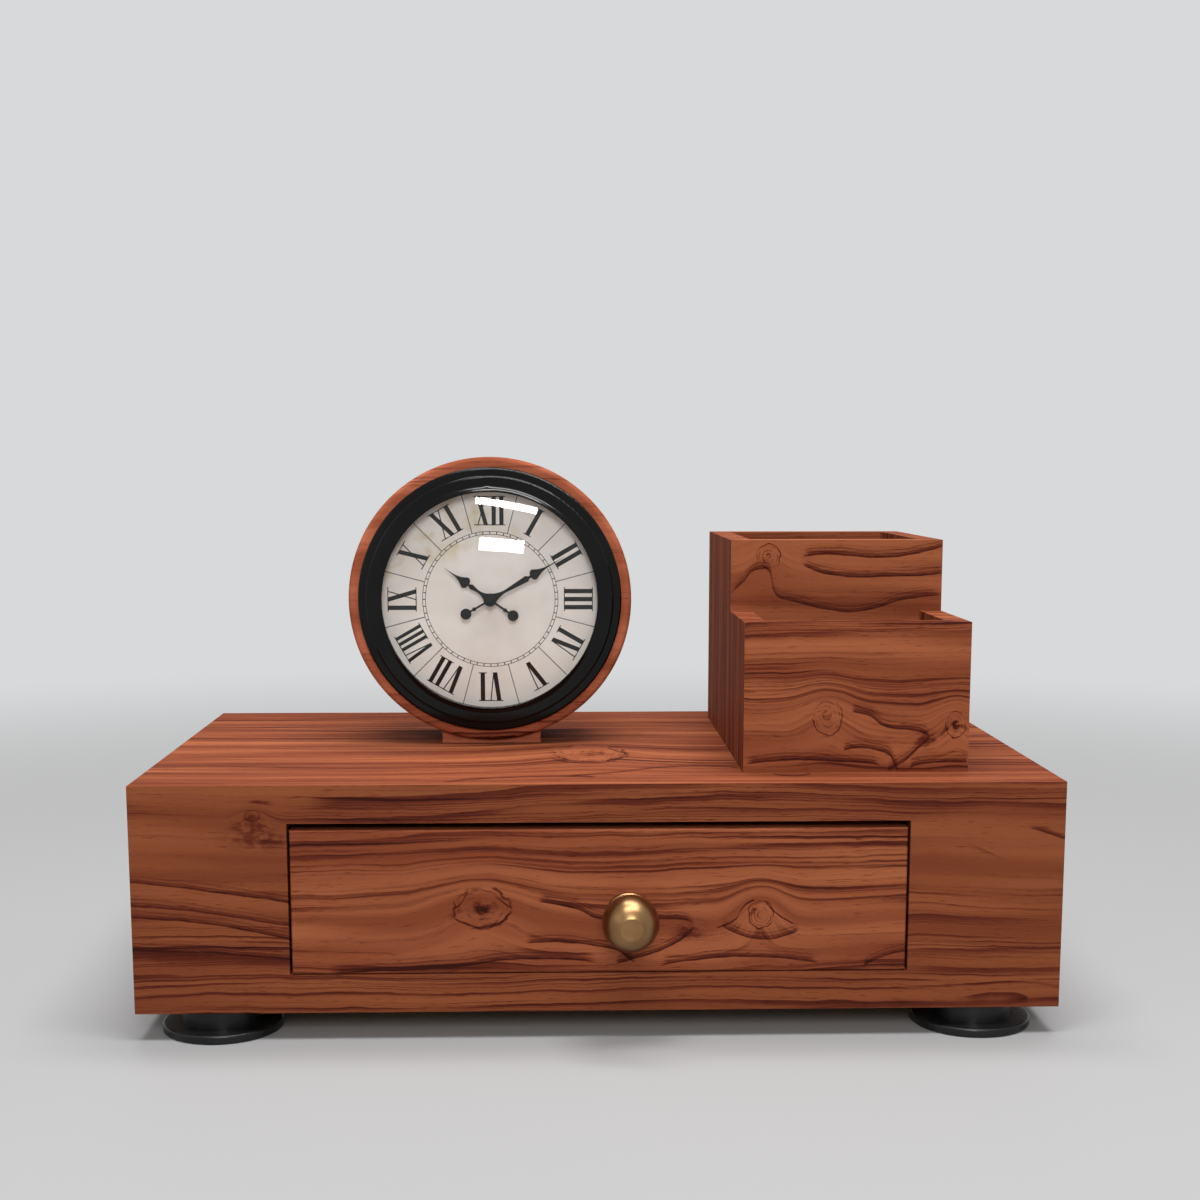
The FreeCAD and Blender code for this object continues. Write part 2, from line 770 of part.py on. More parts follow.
front_corners = [
    ("drawer_half", "drawer_under"),
    ("drawer_half", "drawer_over"),
    ("-drawer_half", "drawer_over"),
    ("-drawer_half", "drawer_under"),
]
front_body = raised("drawer_front_blank", front_corners, "board", "XZ_Plane")
place(front_body, ("0", "inside_front", "0"))
doc.recompute()
front_pad = front_body.Tip
face_number = min(
    range(len(front_pad.Shape.Faces)), key=lambda number: front_pad.Shape.Faces[number].CenterOfMass.y
)
front_round = front_body.newObject("PartDesign::Fillet", "drawer_front_round")
front_round.Base = (front_pad, [f"Face{face_number + 1}"])
bind(front_round, Radius="drawer_edge_radius")
part(
    "drawer_front",
    cut("drawer_front", front_body, tails["left"] + tails["right"] + [bottom_groove] + knob_screw_holes),
)

back_housing = box(
    "drawer_back_housing",
    ("-drawer_inner_half - housing_depth", "drawer_inner_half + housing_depth"),
    ("drawer_back_front", "drawer_back_face"),
    ("groove_over", "drawer_side_over + board"),
)
for side, sign in (("left", "-"), ("right", "")):
    x = mirrored(sign, "drawer_inner_half", "drawer_half")
    length = ("inside_front", "drawer_end")
    blank = box(f"drawer_{side}_board", x, length, ("drawer_under", "drawer_side_over"))
    stop_facing = "right" if sign else "left"
    stop_x = f"{sign}(drawer_half + stop_width)"
    stop_at = (stop_x, "stop_front + stop_length / 2", "(stop_under + stop_over) / 2")
    stop_holes = fasten(f"stop_screw_{side}", [stop_at], stop_facing, "stop_screw_length")
    joined = fuse(f"drawer_{side}_joined", [blank] + tails[side])
    tools = [bottom_groove, back_housing] + stop_holes
    part(f"drawer_{side}_side", cut(f"drawer_{side}_side", joined, tools))
    stop = box(
        f"stop_{side}_blank",
        mirrored(sign, "drawer_half", "drawer_half + stop_width"),
        ("stop_front", "stop_front + stop_length"),
        ("stop_under", "stop_over"),
    )
    part(f"drawer_stop_{side}", cut(f"drawer_stop_{side}", stop, stop_holes))

part(
    "drawer_back",
    box(
        "drawer_back",
        ("-drawer_inner_half - housing_depth", "drawer_inner_half + housing_depth"),
        ("drawer_back_front", "drawer_back_face"),
        ("groove_over", "drawer_side_over"),
    ),
)
part(
    "drawer_bottom",
    box(
        "drawer_bottom",
        (
            "-drawer_inner_half - drawer_groove_depth + drawer_groove_clearance",
            "drawer_inner_half + drawer_groove_depth - drawer_groove_clearance",
        ),
        ("inside_front - drawer_groove_depth + drawer_groove_clearance", "drawer_back_face"),
        ("groove_over - drawer_bottom_thickness", "groove_over"),
    ),
)

# Knob: a ball with a small flat on its front, on a short neck and a round rosette

BALL_MIDDLE = "knob_projection - sqrt(knob_radius ^ 2 - knob_flat_radius ^ 2)"
knob = turned(
    "drawer_knob",
    [
        ("screw_bore", "0"),
        ("knob_base_radius", "0"),
        ("knob_base_radius", "knob_base_height - knob_base_round"),
        ("knob_base_radius - knob_base_round", "knob_base_height", "knob_base_round"),
        ("knob_neck_radius", f"{BALL_MIDDLE} - sqrt(knob_radius ^ 2 - knob_neck_radius ^ 2)"),
        ("knob_flat_radius", "knob_projection", "knob_radius"),
        ("0", "knob_projection"),
        ("0", "knob_bore_depth"),
        ("screw_bore", "knob_bore_depth"),
    ],
)
part("drawer_knob", place(knob, ("knob_x", "case_front", "knob_level"), "front"))

# Pen holder: stepped sides with mitred edges, so that no joint shows on the outer faces

PEN_INNER = ("pen_left + pen_wall", "pen_right - pen_wall")
LOW = ("0", "pen_low_height")
HIGH = ("pen_low_height", "pen_height")

for side, turn, sign, x in (("left", -90, "-", "pen_left"), ("right", 90, "", "pen_right")):
    low = mitred(
        f"pen_{side}_low",
        mirrored(sign, "0", "pen_depth"),
        LOW,
        mirrored(sign, "pen_wall", "pen_depth - pen_wall"),
        LOW,
        "pen_wall",
    )
    high = mitred(
        f"pen_{side}_high",
        mirrored(sign, "pen_step", "pen_depth"),
        HIGH,
        mirrored(sign, "pen_step + pen_wall", "pen_depth - pen_wall"),
        HIGH,
        "pen_wall",
    )
    whole = place(fuse(f"pen_{side}_side", [low, high]), (x, "pen_front_face", "case_over"))
    whole.Placement.Rotation = FreeCAD.Rotation(VECTOR(0, 0, 1), turn)
    part(f"pen_{side}_side", whole)

pen_front = mitred("pen_front", ("pen_left", "pen_right"), LOW, PEN_INNER, LOW, "pen_wall")
part("pen_front", place(pen_front, ("0", "pen_front_face", "case_over")))

pen_back = mitred(
    "pen_back",
    ("-pen_right", "-pen_left"),
    ("0", "pen_height"),
    ("-pen_right + pen_wall", "-pen_left - pen_wall"),
    ("0", "pen_height"),
    "pen_wall",
)
place(pen_back, ("0", "pen_back_face", "case_over"))
pen_back.Placement.Rotation = FreeCAD.Rotation(VECTOR(0, 0, 1), 180)
part("pen_back", pen_back)

divider_top = mitred("divider_top", ("pen_left", "pen_right"), HIGH, PEN_INNER, HIGH, "pen_wall")
place(divider_top, ("0", "pen_step_face", "case_over"))
divider_foot = box(
    "divider_foot",
    PEN_INNER,
    ("pen_step_face", "pen_step_face + pen_wall"),
    ("pen_floor_over", "pen_low_over"),
)
part("pen_divider", fuse("pen_divider", [divider_top, divider_foot]))

pen_floor = box(
    "pen_floor_blank",
    PEN_INNER,
    ("pen_front_face + pen_wall", "pen_back_face - pen_wall"),
    ("case_over", "pen_floor_over"),
)
part("pen_floor", cut("pen_floor", pen_floor, pen_holes))

# Clock: heights along its axis are measured forwards from the drum's front face

def on_clock(thing, across="0", up="0", height="0"):
    """Set a piece on the clock's axis, or beside it, facing forwards."""
    at = (f"clock_x + {across}", f"clock_front - ({height})", f"clock_axis + {up}")
    return place(thing, at, "front")


drum_space = rod("drum_space", "clock_radius + cradle_clearance", "clock_depth + 2 * board")
on_clock(drum_space, height="-clock_depth - board")
cradle_blank = box(
    "cradle_blank",
    ("clock_x - cradle_width / 2", "clock_x + cradle_width / 2"),
    ("cradle_front", "cradle_front + cradle_depth"),
    ("case_over", "case_over + cradle_height"),
)
part("clock_cradle", cut("clock_cradle", cradle_blank, [drum_space] + clock_holes))

drum = turned(
    "drum_blank",
    [
        ("clock_bore_radius", "-clock_depth"),
        ("clock_radius - clock_round", "-clock_depth"),
        ("clock_radius", "-clock_depth + clock_round", "clock_round"),
        ("clock_radius", "-clock_round"),
        ("clock_radius - clock_round", "0", "clock_round"),
        ("clock_bore_radius", "0"),
    ],
)
part("clock_drum", cut("clock_drum", on_clock(drum), clock_holes))

# The bezel rises in steps towards the glass, and its inner edge flares forwards
bezel = turned(
    "clock_bezel",
    [
        ("skirt_radius", "-bezel_skirt_depth"),
        ("skirt_radius", "0"),
        ("bezel_radius", "0"),
        ("bezel_radius", "bezel_flange_height - bezel_edge_radius"),
        ("bezel_radius - bezel_edge_radius", "bezel_flange_height", "bezel_edge_radius"),
        ("bezel_band_radius", "bezel_flange_height"),
        ("bezel_band_radius", "bezel_band_height - bezel_edge_radius"),
        ("bezel_band_radius - bezel_edge_radius", "bezel_band_height", "bezel_edge_radius"),
        ("bezel_flare_start", "bezel_band_height"),
        ("bezel_crest_radius", "bezel_crest_height", "-bezel_flare_radius"),
        ("bezel_lip_radius", "bezel_crest_height - bezel_lip_round", "bezel_lip_round"),
        ("bezel_lip_radius", "lip_back"),
        ("skirt_bore", "lip_back"),
        ("skirt_bore", "-bezel_skirt_depth"),
    ],
)
part("clock_bezel", on_clock(bezel))

glass = turned(
    "clock_glass",
    [
        ("stack_radius", "glass_back"),
        ("stack_radius", "lip_back"),
        ("bezel_lip_radius", "lip_back"),
        ("0", "lip_back + glass_rise", "glass_sphere"),
        ("0", "glass_back + glass_rise"),
        ("bezel_lip_radius", "glass_back", "-glass_sphere"),
    ],
)
part("clock_glass", on_clock(glass))


def ring(name, bore, low, high):
    """A plain flat ring that fills the bezel's skirt."""
    outer = "stack_radius"
    return on_clock(turned(name, [(bore, low), (outer, low), (outer, high), (bore, high)]))


part("glass_spacer", ring("glass_spacer", "stack_radius - glass_spacer_wall", "dial_front", "glass_back"))
retainer_back = "dial_back - retaining_ring_height"
retainer_bore = "stack_radius - retaining_ring_wall"
part("dial_retaining_ring", ring("dial_retaining_ring", retainer_bore, retainer_back, "dial_back"))

dial_disc = ring("dial_disc", "bush_radius + bush_clearance", "dial_back", "dial_front")
dial_feet = []
dial_foot_holes = []
for side in ("-", ""):
    foot_place = {"across": f"{side}dial_foot_spacing / 2", "up": "dial_foot_lift"}
    pin = rod("dial_foot", "dial_foot_radius", "dial_foot_length + dial_thickness / 2")
    dial_feet.append(on_clock(pin, height="dial_back - dial_foot_length", **foot_place))
    hole = rod("dial_foot_hole", "dial_foot_radius + dial_foot_clearance", "2 * plate_thickness")
    dial_foot_holes.append(on_clock(hole, height="plate_back - plate_thickness / 2", **foot_place))
part("clock_dial", fuse("clock_dial", [dial_disc] + dial_feet))

# Quartz movement: a case with a gear space and a battery bay, closed by a plate with a plain bush

MOVEMENT_OUTLINE = rounded_rectangle(
    "-movement_width / 2", "movement_width / 2", "-movement_below", "movement_above", "movement_corner"
)


def clock_box(name, x, up, z):
    """A block given across, up and along the clock's axis."""
    return box(
        name,
        (f"clock_x + {x[0]}", f"clock_x + {x[1]}"),
        (f"clock_front - ({z[1]})", f"clock_front - ({z[0]})"),
        (f"clock_axis + {up[0]}", f"clock_axis + {up[1]}"),
    )


movement_blank = raised("movement_blank", MOVEMENT_OUTLINE, "movement_depth - plate_thickness")
on_clock(movement_blank, height="movement_back")
gear_space = clock_box(
    "gear_space",
    ("-movement_width / 2 + movement_wall", "movement_width / 2 - movement_wall"),
    ("bay_over + movement_wall", "movement_above - movement_wall"),
    ("cavity_back", "plate_back + board"),
)
battery_bay = clock_box(
    "battery_bay",
    ("-bay_width / 2", "bay_width / 2"),
    ("bay_under", "bay_over"),
    ("movement_back - board", "movement_back + bay_depth"),
)
arbor_hole = rod("arbor_hole", "pipe_bore", "movement_depth")
on_clock(arbor_hole, height="movement_back + arbor_skin")
setting_hole = rod("setting_hole", "pipe_bore", "movement_depth")
on_clock(setting_hole, up="wheel_distance", height="movement_back - movement_wall")
hollows = [gear_space, battery_bay, arbor_hole, setting_hole]
part("movement_case", cut("movement_case", movement_blank, hollows))

plate_blank = raised("plate_blank", MOVEMENT_OUTLINE, "plate_thickness", hole="bush_bore")
on_clock(plate_blank, height="plate_back")
bush = turned(
    "plate_bush",
    [
        ("bush_bore", "plate_back"),
        ("bush_radius", "plate_back"),
        ("bush_radius", "dial_front"),
        ("bush_bore", "dial_front"),
    ],
)
on_clock(bush)
plate_pivot = rod("plate_pivot", "pipe_bore", "plate_thickness")
on_clock(plate_pivot, up="wheel_distance", height="plate_back - plate_thickness / 2")
plate_with_bush = fuse("plate_with_bush", [plate_blank, bush])
part("movement_plate", cut("movement_plate", plate_with_bush, [plate_pivot] + dial_foot_holes))

battery_cell = rod("battery_cell", "battery_radius", "battery_length")
battery_nub = rod("battery_nub", "battery_nub_radius", "battery_nub_length", "battery_length")
battery = fuse("battery", [battery_cell, battery_nub])
place(
    battery,
    (
        "clock_x - bay_width / 2 + contact_thickness",
        "clock_front - battery_place",
        "clock_axis + battery_level",
    ),
    "right",
)
part("battery", battery)

contacts = []
for side, near, far in (
    ("left", "-bay_width / 2", "-bay_width / 2 + contact_thickness"),
    ("right", "bay_width / 2 - contact_thickness", "bay_width / 2"),
):
    contacts.append(
        clock_box(
            f"{side}_contact",
            (near, far),
            ("battery_level - battery_radius / 2", "battery_level + battery_radius / 2"),
            ("battery_place - battery_radius", "battery_place + battery_radius"),
        )
    )
part("battery_contacts", group("battery_contacts", contacts))

drive_module = clock_box(
    "drive_module",
    ("movement_width / 2 - movement_wall - module_width", "movement_width / 2 - movement_wall"),
    ("movement_above - movement_wall - module_height", "movement_above - movement_wall"),
    ("cavity_back", "cavity_back + module_thickness"),
)
part("drive_module", drive_module)

# Motion work: the cannon pinion drives the minute wheel, whose pinion drives the hour wheel at a twelfth

def toothed(name, teeth, pitch_module, thickness, bore, gap_angle):
    """A toothed wheel with straight flanks, its gap or tooth set at an angle from the right."""
    module = value(pitch_module)
    count = int(value(teeth))
    pitch = module * count / 2
    root = pitch - module * value("tooth_dedendum")
    tip = pitch + module * value("tooth_addendum")
    half_tooth = math.pi * module / 4 - value("tooth_backlash") / 2
    slope = math.tan(math.radians(value("tooth_slope")))
    corners = []
    for number in range(count):
        middle = math.radians(gap_angle) + 2 * math.pi * number / count
        for radius, side in ((root, -1), (tip, -1), (tip, 1), (root, 1)):
            half = half_tooth - (radius - pitch) * slope
            turn = middle + side * math.asin(min(half / radius, math.sin(math.pi / count)))
            corners.append(VECTOR(radius * math.cos(turn), radius * math.sin(turn), 0))
    face = Part.Face(Part.makePolygon(corners + corners[:1]))
    if bore:
        face = face.cut(Part.Face(Part.Wire(Part.makeCircle(value(bore)))))
    wheel = doc.addObject("Part::Feature", name)
    wheel.Shape = face.extrude(VECTOR(0, 0, value(thickness)))
    return wheel


UPWARDS = 90
DOWNWARDS = -90

pinion_length = "wheel_thickness + wheel_gap"
cannon = toothed("cannon_pinion", "cannon_teeth", "fast_module", pinion_length, None, UPWARDS)
place(cannon, ("0", "0", "minute_wheel_back - wheel_gap / 2"))
arbor_back = "movement_back + arbor_skin + arbor_end_gap"
arbor_length = f"minute_hand_front + cap_bore - ({arbor_back})"
arbor = rod("arbor_bar", "arbor_radius", arbor_length, arbor_back)
part("minute_arbor", on_clock(fuse("minute_arbor", [arbor, cannon])))

minute_gear_phase = DOWNWARDS + value("180 / minute_teeth")
minute_gear = toothed(
    "minute_gear", "minute_teeth", "fast_module", "wheel_thickness", None, minute_gear_phase
)
place(minute_gear, ("0", "0", "minute_wheel_back"))
pinion = toothed("minute_pinion", "pinion_teeth", "slow_module", pinion_length, None, DOWNWARDS)
place(pinion, ("0", "0", "hour_wheel_back - wheel_gap"))
setting_back = "set_knob_front - set_knob_bore"
setting_length = f"plate_back + plate_thickness / 2 - arbor_end_gap - ({setting_back})"
setting_bar = rod("setting_bar", "arbor_radius", setting_length, setting_back)
setting_train = fuse("minute_wheel", [setting_bar, minute_gear, pinion])
part("minute_wheel", on_clock(setting_train, up="wheel_distance"))

hour_gear_phase = UPWARDS + value("180 / hour_teeth")
hour_gear = toothed(
    "hour_gear", "hour_teeth", "slow_module", "wheel_thickness", "pipe_bore", hour_gear_phase
)
place(hour_gear, ("0", "0", "hour_wheel_back"))
hour_pipe = turned(
    "hour_pipe",
    [
        ("pipe_bore", "hour_wheel_back"),
        ("pipe_radius", "hour_wheel_back"),
        ("pipe_radius", "hour_hand_back + hand_thickness"),
        ("pipe_bore", "hour_hand_back + hand_thickness"),
    ],
)
part("hour_wheel", on_clock(fuse("hour_wheel", [hour_gear, hour_pipe])))

flutes = []
for number in range(int(SIZES["set_knob_flutes"])):
    angle = 360 * number / SIZES["set_knob_flutes"]
    across = f"set_knob_radius * cos({angle})"
    up = f"set_knob_radius * sin({angle})"
    flute = rod(f"set_knob_flute_{number}", "set_knob_flute_radius", "3 * set_knob_height")
    flutes.append(place(flute, (across, up, "-2 * set_knob_height")))
set_bore = rod("set_knob_bore_tool", "arbor_radius + hand_fit", "2 * set_knob_bore", "-set_knob_bore")
set_blank = rod("set_knob_blank", "set_knob_radius", "set_knob_height", "-set_knob_height")
set_knob = cut("set_knob", set_blank, flutes + [set_bore])
part("set_knob", on_clock(set_knob, up="wheel_distance", height="set_knob_front"))

# Hands: spade hands with a bead on the arm and a counterweight disc on the tail

def hand(kind, bore, height):
    """One spade hand, drawn pointing up and turned clockwise to its hour."""
    tail_shoulder = "-hand_tail + sqrt(hand_tail_radius ^ 2 - hand_tail_half_width ^ 2)"
    boss_under = "-sqrt(hand_boss_radius ^ 2 - hand_tail_half_width ^ 2)"
    flare_across = "hand_boss_radius * cos(hand_flare_angle)"
    flare_up = "hand_boss_radius * sin(hand_flare_angle)"
    spade_under = f"{kind}_spade_place - hand_shoulder_length"
    right = [
        ("hand_tail_half_width", tail_shoulder, "hand_tail_radius"),
        ("hand_tail_half_width", "-hand_tail_bead - hand_bead_half_length", "0"),
        ("hand_tail_half_width", "-hand_tail_bead + hand_bead_half_length", "hand_bead_radius"),
        ("hand_tail_half_width", boss_under, "0"),
        (flare_across, flare_up, "hand_boss_radius"),
        (f"{kind}_waist_half_width", f"{kind}_waist_place", f"-{kind}_flare_radius"),
        (f"{kind}_collar_half_width", f"{kind}_collar_place", "0"),
        ("hand_neck_half_width", f"{kind}_collar_place + hand_collar_half_length", "0"),
        ("hand_neck_half_width", spade_under, "0"),
        (f"{kind}_spade_half_width", f"{kind}_spade_place", "hand_shoulder_radius"),
        ("hand_tip_half_width", f"{kind}_tip_place", f"-{kind}_tip_radius"),
    ]
    left = []
    bend = "0"
    for across, up, next_bend in reversed(right):
        left.append((f"-{across}", up, bend))
        bend = next_bend
    tail_end = ("0", "-hand_tail - hand_tail_radius", bend)
    point = ("0", f"{kind}_hand_length")
    blade = raised(f"{kind}_hand", [tail_end] + right + [point] + left, "hand_thickness", hole=bore)
    on_clock(blade, height=height)
    clockwise = FreeCAD.Rotation(VECTOR(0, 0, 1), -value(f"{kind}_angle"))
    blade.Placement.Rotation = FACING["front"] * clockwise
    return part(f"{kind}_hand", blade)


hand("hour", "pipe_radius + hand_fit", "hour_hand_back")
hand("minute", "arbor_radius + hand_fit", "minute_hand_back")

cap = turned(
    "hand_cap",
    [
        ("arbor_radius + hand_fit", "0"),
        ("cap_radius", "0"),
        ("cap_radius", "cap_bore"),
        ("cap_flat_radius", "cap_height", "cap_round"),
        ("0", "cap_height"),
        ("0", "cap_bore"),
        ("arbor_radius + hand_fit", "cap_bore"),
    ],
)
part("hand_cap", on_clock(cap, height="minute_hand_front"))

# Recompute, check every object and write one file for each piece

doc.recompute()
for thing in doc.Objects:
    if "Invalid" in thing.State or "Error" in thing.State:
        raise RuntimeError(f"{thing.Label} failed: {thing.State}")
for thing in PARTS:
    if thing.Shape.isNull() or not thing.Shape.isValid():
        raise RuntimeError(f"{thing.Label} has no valid shape")

os.makedirs("parts", exist_ok=True)
for thing in PARTS:
    thing.Shape.exportStep(f"parts/{thing.Label}.step")
    size = thing.Shape.BoundBox
    print(f"{thing.Label}: {size.XLength:.0f} x {size.YLength:.0f} x {size.ZLength:.0f} mm or less")
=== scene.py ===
# %% [markdown]
# # A wooden desk organizer
# The organizer is a low drawer case on round feet. A clock in a cradle and a stepped pen holder stand on
# its top. The solid model already has every board, screw and wheel at its real size, so this lesson loads
# it and gives each piece the finish of the real one: figured red-brown wood, satin brass, black lacquer,
# clear domed glass and a printed dial.

# %% Load the model
import math

import bmesh
import bpy
from mathutils import Matrix, Quaternion, Vector


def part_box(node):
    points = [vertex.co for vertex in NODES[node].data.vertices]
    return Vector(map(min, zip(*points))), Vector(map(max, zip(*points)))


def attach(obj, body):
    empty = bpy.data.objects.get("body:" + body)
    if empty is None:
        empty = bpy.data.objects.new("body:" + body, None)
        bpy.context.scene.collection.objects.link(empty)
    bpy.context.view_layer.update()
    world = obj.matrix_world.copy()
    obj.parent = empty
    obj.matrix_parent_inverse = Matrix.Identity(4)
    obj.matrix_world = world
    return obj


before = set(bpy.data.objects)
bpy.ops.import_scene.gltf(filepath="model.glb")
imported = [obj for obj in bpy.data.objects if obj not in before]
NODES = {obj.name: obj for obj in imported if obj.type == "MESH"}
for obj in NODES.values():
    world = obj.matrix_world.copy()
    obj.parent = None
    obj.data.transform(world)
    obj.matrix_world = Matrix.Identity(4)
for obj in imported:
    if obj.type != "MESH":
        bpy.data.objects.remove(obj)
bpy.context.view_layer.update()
MM = 0.001

# %% [markdown]
# ## Writing shader maths as Python
# A finish is a small formula over the surface. Placing Math nodes one by one hides that formula, so one
# class wraps a node's output and lets Python's own operators add the nodes. Every other node comes from
# its `node` method, which sets the node's options first and then its sockets.

# %% A socket that takes part in sums
class Shade:
    """An output of a material's node tree; arithmetic on it adds Math nodes."""

    def __init__(self, tree, socket=None):
        self.tree = tree
        self.socket = socket

    def node(self, kind, settings=None, inputs=None, out=0):
        """Add a node of a kind, set its options, fill its sockets and give one of its outputs."""
        made = self.tree.nodes.new(kind)
        for name, setting in (settings or {}).items():
            if name == "points":
                fill_curve(made.mapping, setting)
            else:
                setattr(made, name, setting)
        for name, given in (inputs or {}).items():
            if isinstance(given, Shade):
                self.tree.links.new(given.socket, made.inputs[name])
            else:
                made.inputs[name].default_value = given
        return Shade(self.tree, made.outputs[out] if made.outputs else None)

    def math(self, operation, *others):
        """A Math node on this value and others."""
        return self.node("ShaderNodeMath", {"operation": operation}, dict(enumerate((self, *others))))

    def __add__(self, other):
        return self.math("ADD", other)

    def __sub__(self, other):
        return self.math("SUBTRACT", other)

    def __rsub__(self, other):
        return (self * -1) + other

    def __mul__(self, other):
        return self.math("MULTIPLY", other)

    def __truediv__(self, other):
        return self.math("DIVIDE", other)

    def __pow__(self, other):
        return self.math("POWER", other)

    __radd__ = __add__
    __rmul__ = __mul__

    def smooth(self, low, high):
        """A soft step from 0 at low to 1 at high."""
        inputs = {"Value": self, "From Min": low, "From Max": high}
        return self.node("ShaderNodeMapRange", {"interpolation_type": "SMOOTHSTEP"}, inputs)

    def between(self, first, second):
        """A colour between two colours, with this value as the factor."""
        return self.node("ShaderNodeMix", {"data_type": "RGBA"}, {0: self, 6: first, 7: second}, out=2)

    def along(self, direction):
        """How far this vector reaches in a direction."""
        settings = {"operation": "DOT_PRODUCT"}
        return self.node("ShaderNodeVectorMath", settings, {0: self, 1: direction}, "Value")


def fill_curve(mapping, points):
    """Lead a curve that starts with two points through given (x, y) points, all from 0 to 1."""
    first, *between, last = points
    curve = mapping.curves[0]
    curve.points[0].location = first
    curve.points[1].location = last
    for point in between:
        curve.points.new(*point)
    mapping.update()


# %% Start and end a material
def tint(red, green, blue):
    """A colour as a shader takes it, from the 0 to 255 values that a screen shows."""
    shown = [number / 255 for number in (red, green, blue)]
    linear = [part / 12.92 if part < 0.04045 else ((part + 0.055) / 1.055) ** 2.4 for part in shown]
    return (*linear, 1)


def begin(name):
    """A new empty material, and the place on the object in millimetres."""
    finish = bpy.data.materials.new(name)
    finish.use_nodes = True
    finish.node_tree.nodes.clear()
    start = Shade(finish.node_tree)
    metres = start.node("ShaderNodeTexCoord", out="Object")
    to_millimetres = {0: metres, "Scale": 1 / MM}
    return finish, start.node("ShaderNodeVectorMath", {"operation": "SCALE"}, to_millimetres)


def end(place, sockets):
    """Close a material with a Principled shader."""
    shader = place.node("ShaderNodeBsdfPrincipled", None, sockets)
    place.node("ShaderNodeOutputMaterial", None, {"Surface": shader})


def noise(run, side, patch, seed, detail=2.0, roughness=0.5):
    """Flat noise over two values, in patches of a (length, height) in millimetres."""
    length, height = patch
    vector = run.node("ShaderNodeCombineXYZ", None, {0: run / length, 1: side / height, 2: seed})
    inputs = {"Vector": vector, "Scale": 1.0, "Detail": detail, "Roughness": roughness}
    return run.node("ShaderNodeTexNoise", None, inputs)


def grain_noise(place, size, detail=2.0):
    """Even noise in all directions, with patches of a size in millimetres."""
    inputs = {"Vector": place, "Scale": 1 / size, "Detail": detail}
    return place.node("ShaderNodeTexNoise", {"noise_dimensions": "3D"}, inputs)


def bump(height, strength, depth):
    """A Normal from a height between 0 and 1, with its real depth in millimetres."""
    inputs = {"Height": height, "Strength": strength, "Distance": depth * MM}
    return height.node("ShaderNodeBump", None, inputs)


def dress(finish, *names):
    """Give a finish to model nodes."""
    for name in names:
        slots = NODES[name].material_slots
        for slot in slots:
            slot.material = finish
    print(finish.name, "on", len(names), "nodes")


# %% [markdown]
# ## Figured wood
# The boards are cut from a red-brown timber. Each growth ring darkens slowly and ends at a sharp edge, so
# a board shows streaks that are soft on one side and crisp on the other. A picture of wood would repeat,
# so the rings are the level lines of one smooth field instead: the distance across the board, bent by slow
# noise. Some rings are strong and some are faint, and they come in clusters with plain wood between.

# %% Growth rings
WOOD_INK = tint(56, 24, 19)
WOOD_DARK = tint(94, 42, 29)
WOOD_MID = tint(131, 68, 44)
WOOD_PALE = tint(166, 96, 63)
RING_PEAK = 0.93
RING_START = 0.25
DRIFT_LENGTH = 260
DRIFT_RINGS = 6
DRIFT = 4
FADE_LENGTH = 70
FADE_SPREAD = 3


def ring_edge(count, start):
    """Dark from a start within each ring to its sharp outer edge; count goes up by 1 with every ring."""
    within = count.math("FRACT")
    return within.smooth(start, RING_PEAK) * (1 - within.smooth(RING_PEAK, 1.0))


def growth_rings(run, rings, spacing, seed):
    """Streaks of about a spacing in millimetres, each with its own strength, that come and go along it."""
    drift = noise(run, rings, (DRIFT_LENGTH, spacing * DRIFT_RINGS), seed, 1.0)
    count = rings / spacing + drift * DRIFT
    number = count.math("FLOOR") + seed
    strength = run.node("ShaderNodeTexWhiteNoise", {"noise_dimensions": "1D"}, {"W": number})
    fade = noise(run, number * FADE_SPREAD, (FADE_LENGTH, 1), seed + 1, 1.0).smooth(0.3, 0.6)
    return ring_edge(count, RING_START) * strength.smooth(0.1, 0.9) * fade


# %% [markdown]
# ## Knots and flames
# A knot is where a branch left the trunk: the rings arch over it, and it has an eye of its own with a
# thin broken rim. The rings are lifted by a smooth hill round each knot. Near knots the grain also runs
# out into dark, curling lines. The few bold ones, called veins here, are smooth curves through some points,
# dark at the line and fading to one side, and the cracks round a knot are the same lines with hardly any
# fade. The many faint ones, called flames, are level lines of a slow noise, kept to where the board has
# them.

# %% Eyes and curls
ARCH = 0.26
EYE_RINGS = 3.4
EYE_WOBBLE = 0.9
EYE_ROUGH = 0.25
RIM_WIDTH = 0.08
RIM_SHADE = 0.9
EYE_SHADE = 0.5
HEART_SHADE = 0.5
KNOT_SHADE = 0.1


def nearness(run, side, spot_run, spot_side, half_length, half_height):
    """The squared distance to a spot, 1 on its outline."""
    return ((run - spot_run) / half_length) ** 2 + ((side - spot_side) / half_height) ** 2


def hill(run, side, spot):
    """A smooth hill on a spot, 1 in its middle and 0 well outside it."""
    return (nearness(run, side, *spot) * -1).math("EXPONENT")


def knot_eye(far, wobble, rough):
    """How dark a knot's own rim, rings and heart are, and how far a point lies inside it."""
    out = far.math("SQRT") + (wobble - 0.5) * EYE_WOBBLE + (rough - 0.5) * EYE_ROUGH
    inside = 1 - out.smooth(0.85, 1.15)
    rim = (1 - (out - 1).math("ABSOLUTE").smooth(0.0, RIM_WIDTH)) * wobble.smooth(0.4, 0.52)
    rings = ring_edge(out * EYE_RINGS, 0.45) * inside * rough.smooth(0.35, 0.65)
    heart = (1 - out.smooth(0.15, 0.5)) * rough.smooth(0.3, 0.7)
    return rim * RIM_SHADE + rings * EYE_SHADE + heart * HEART_SHADE + inside * KNOT_SHADE, inside


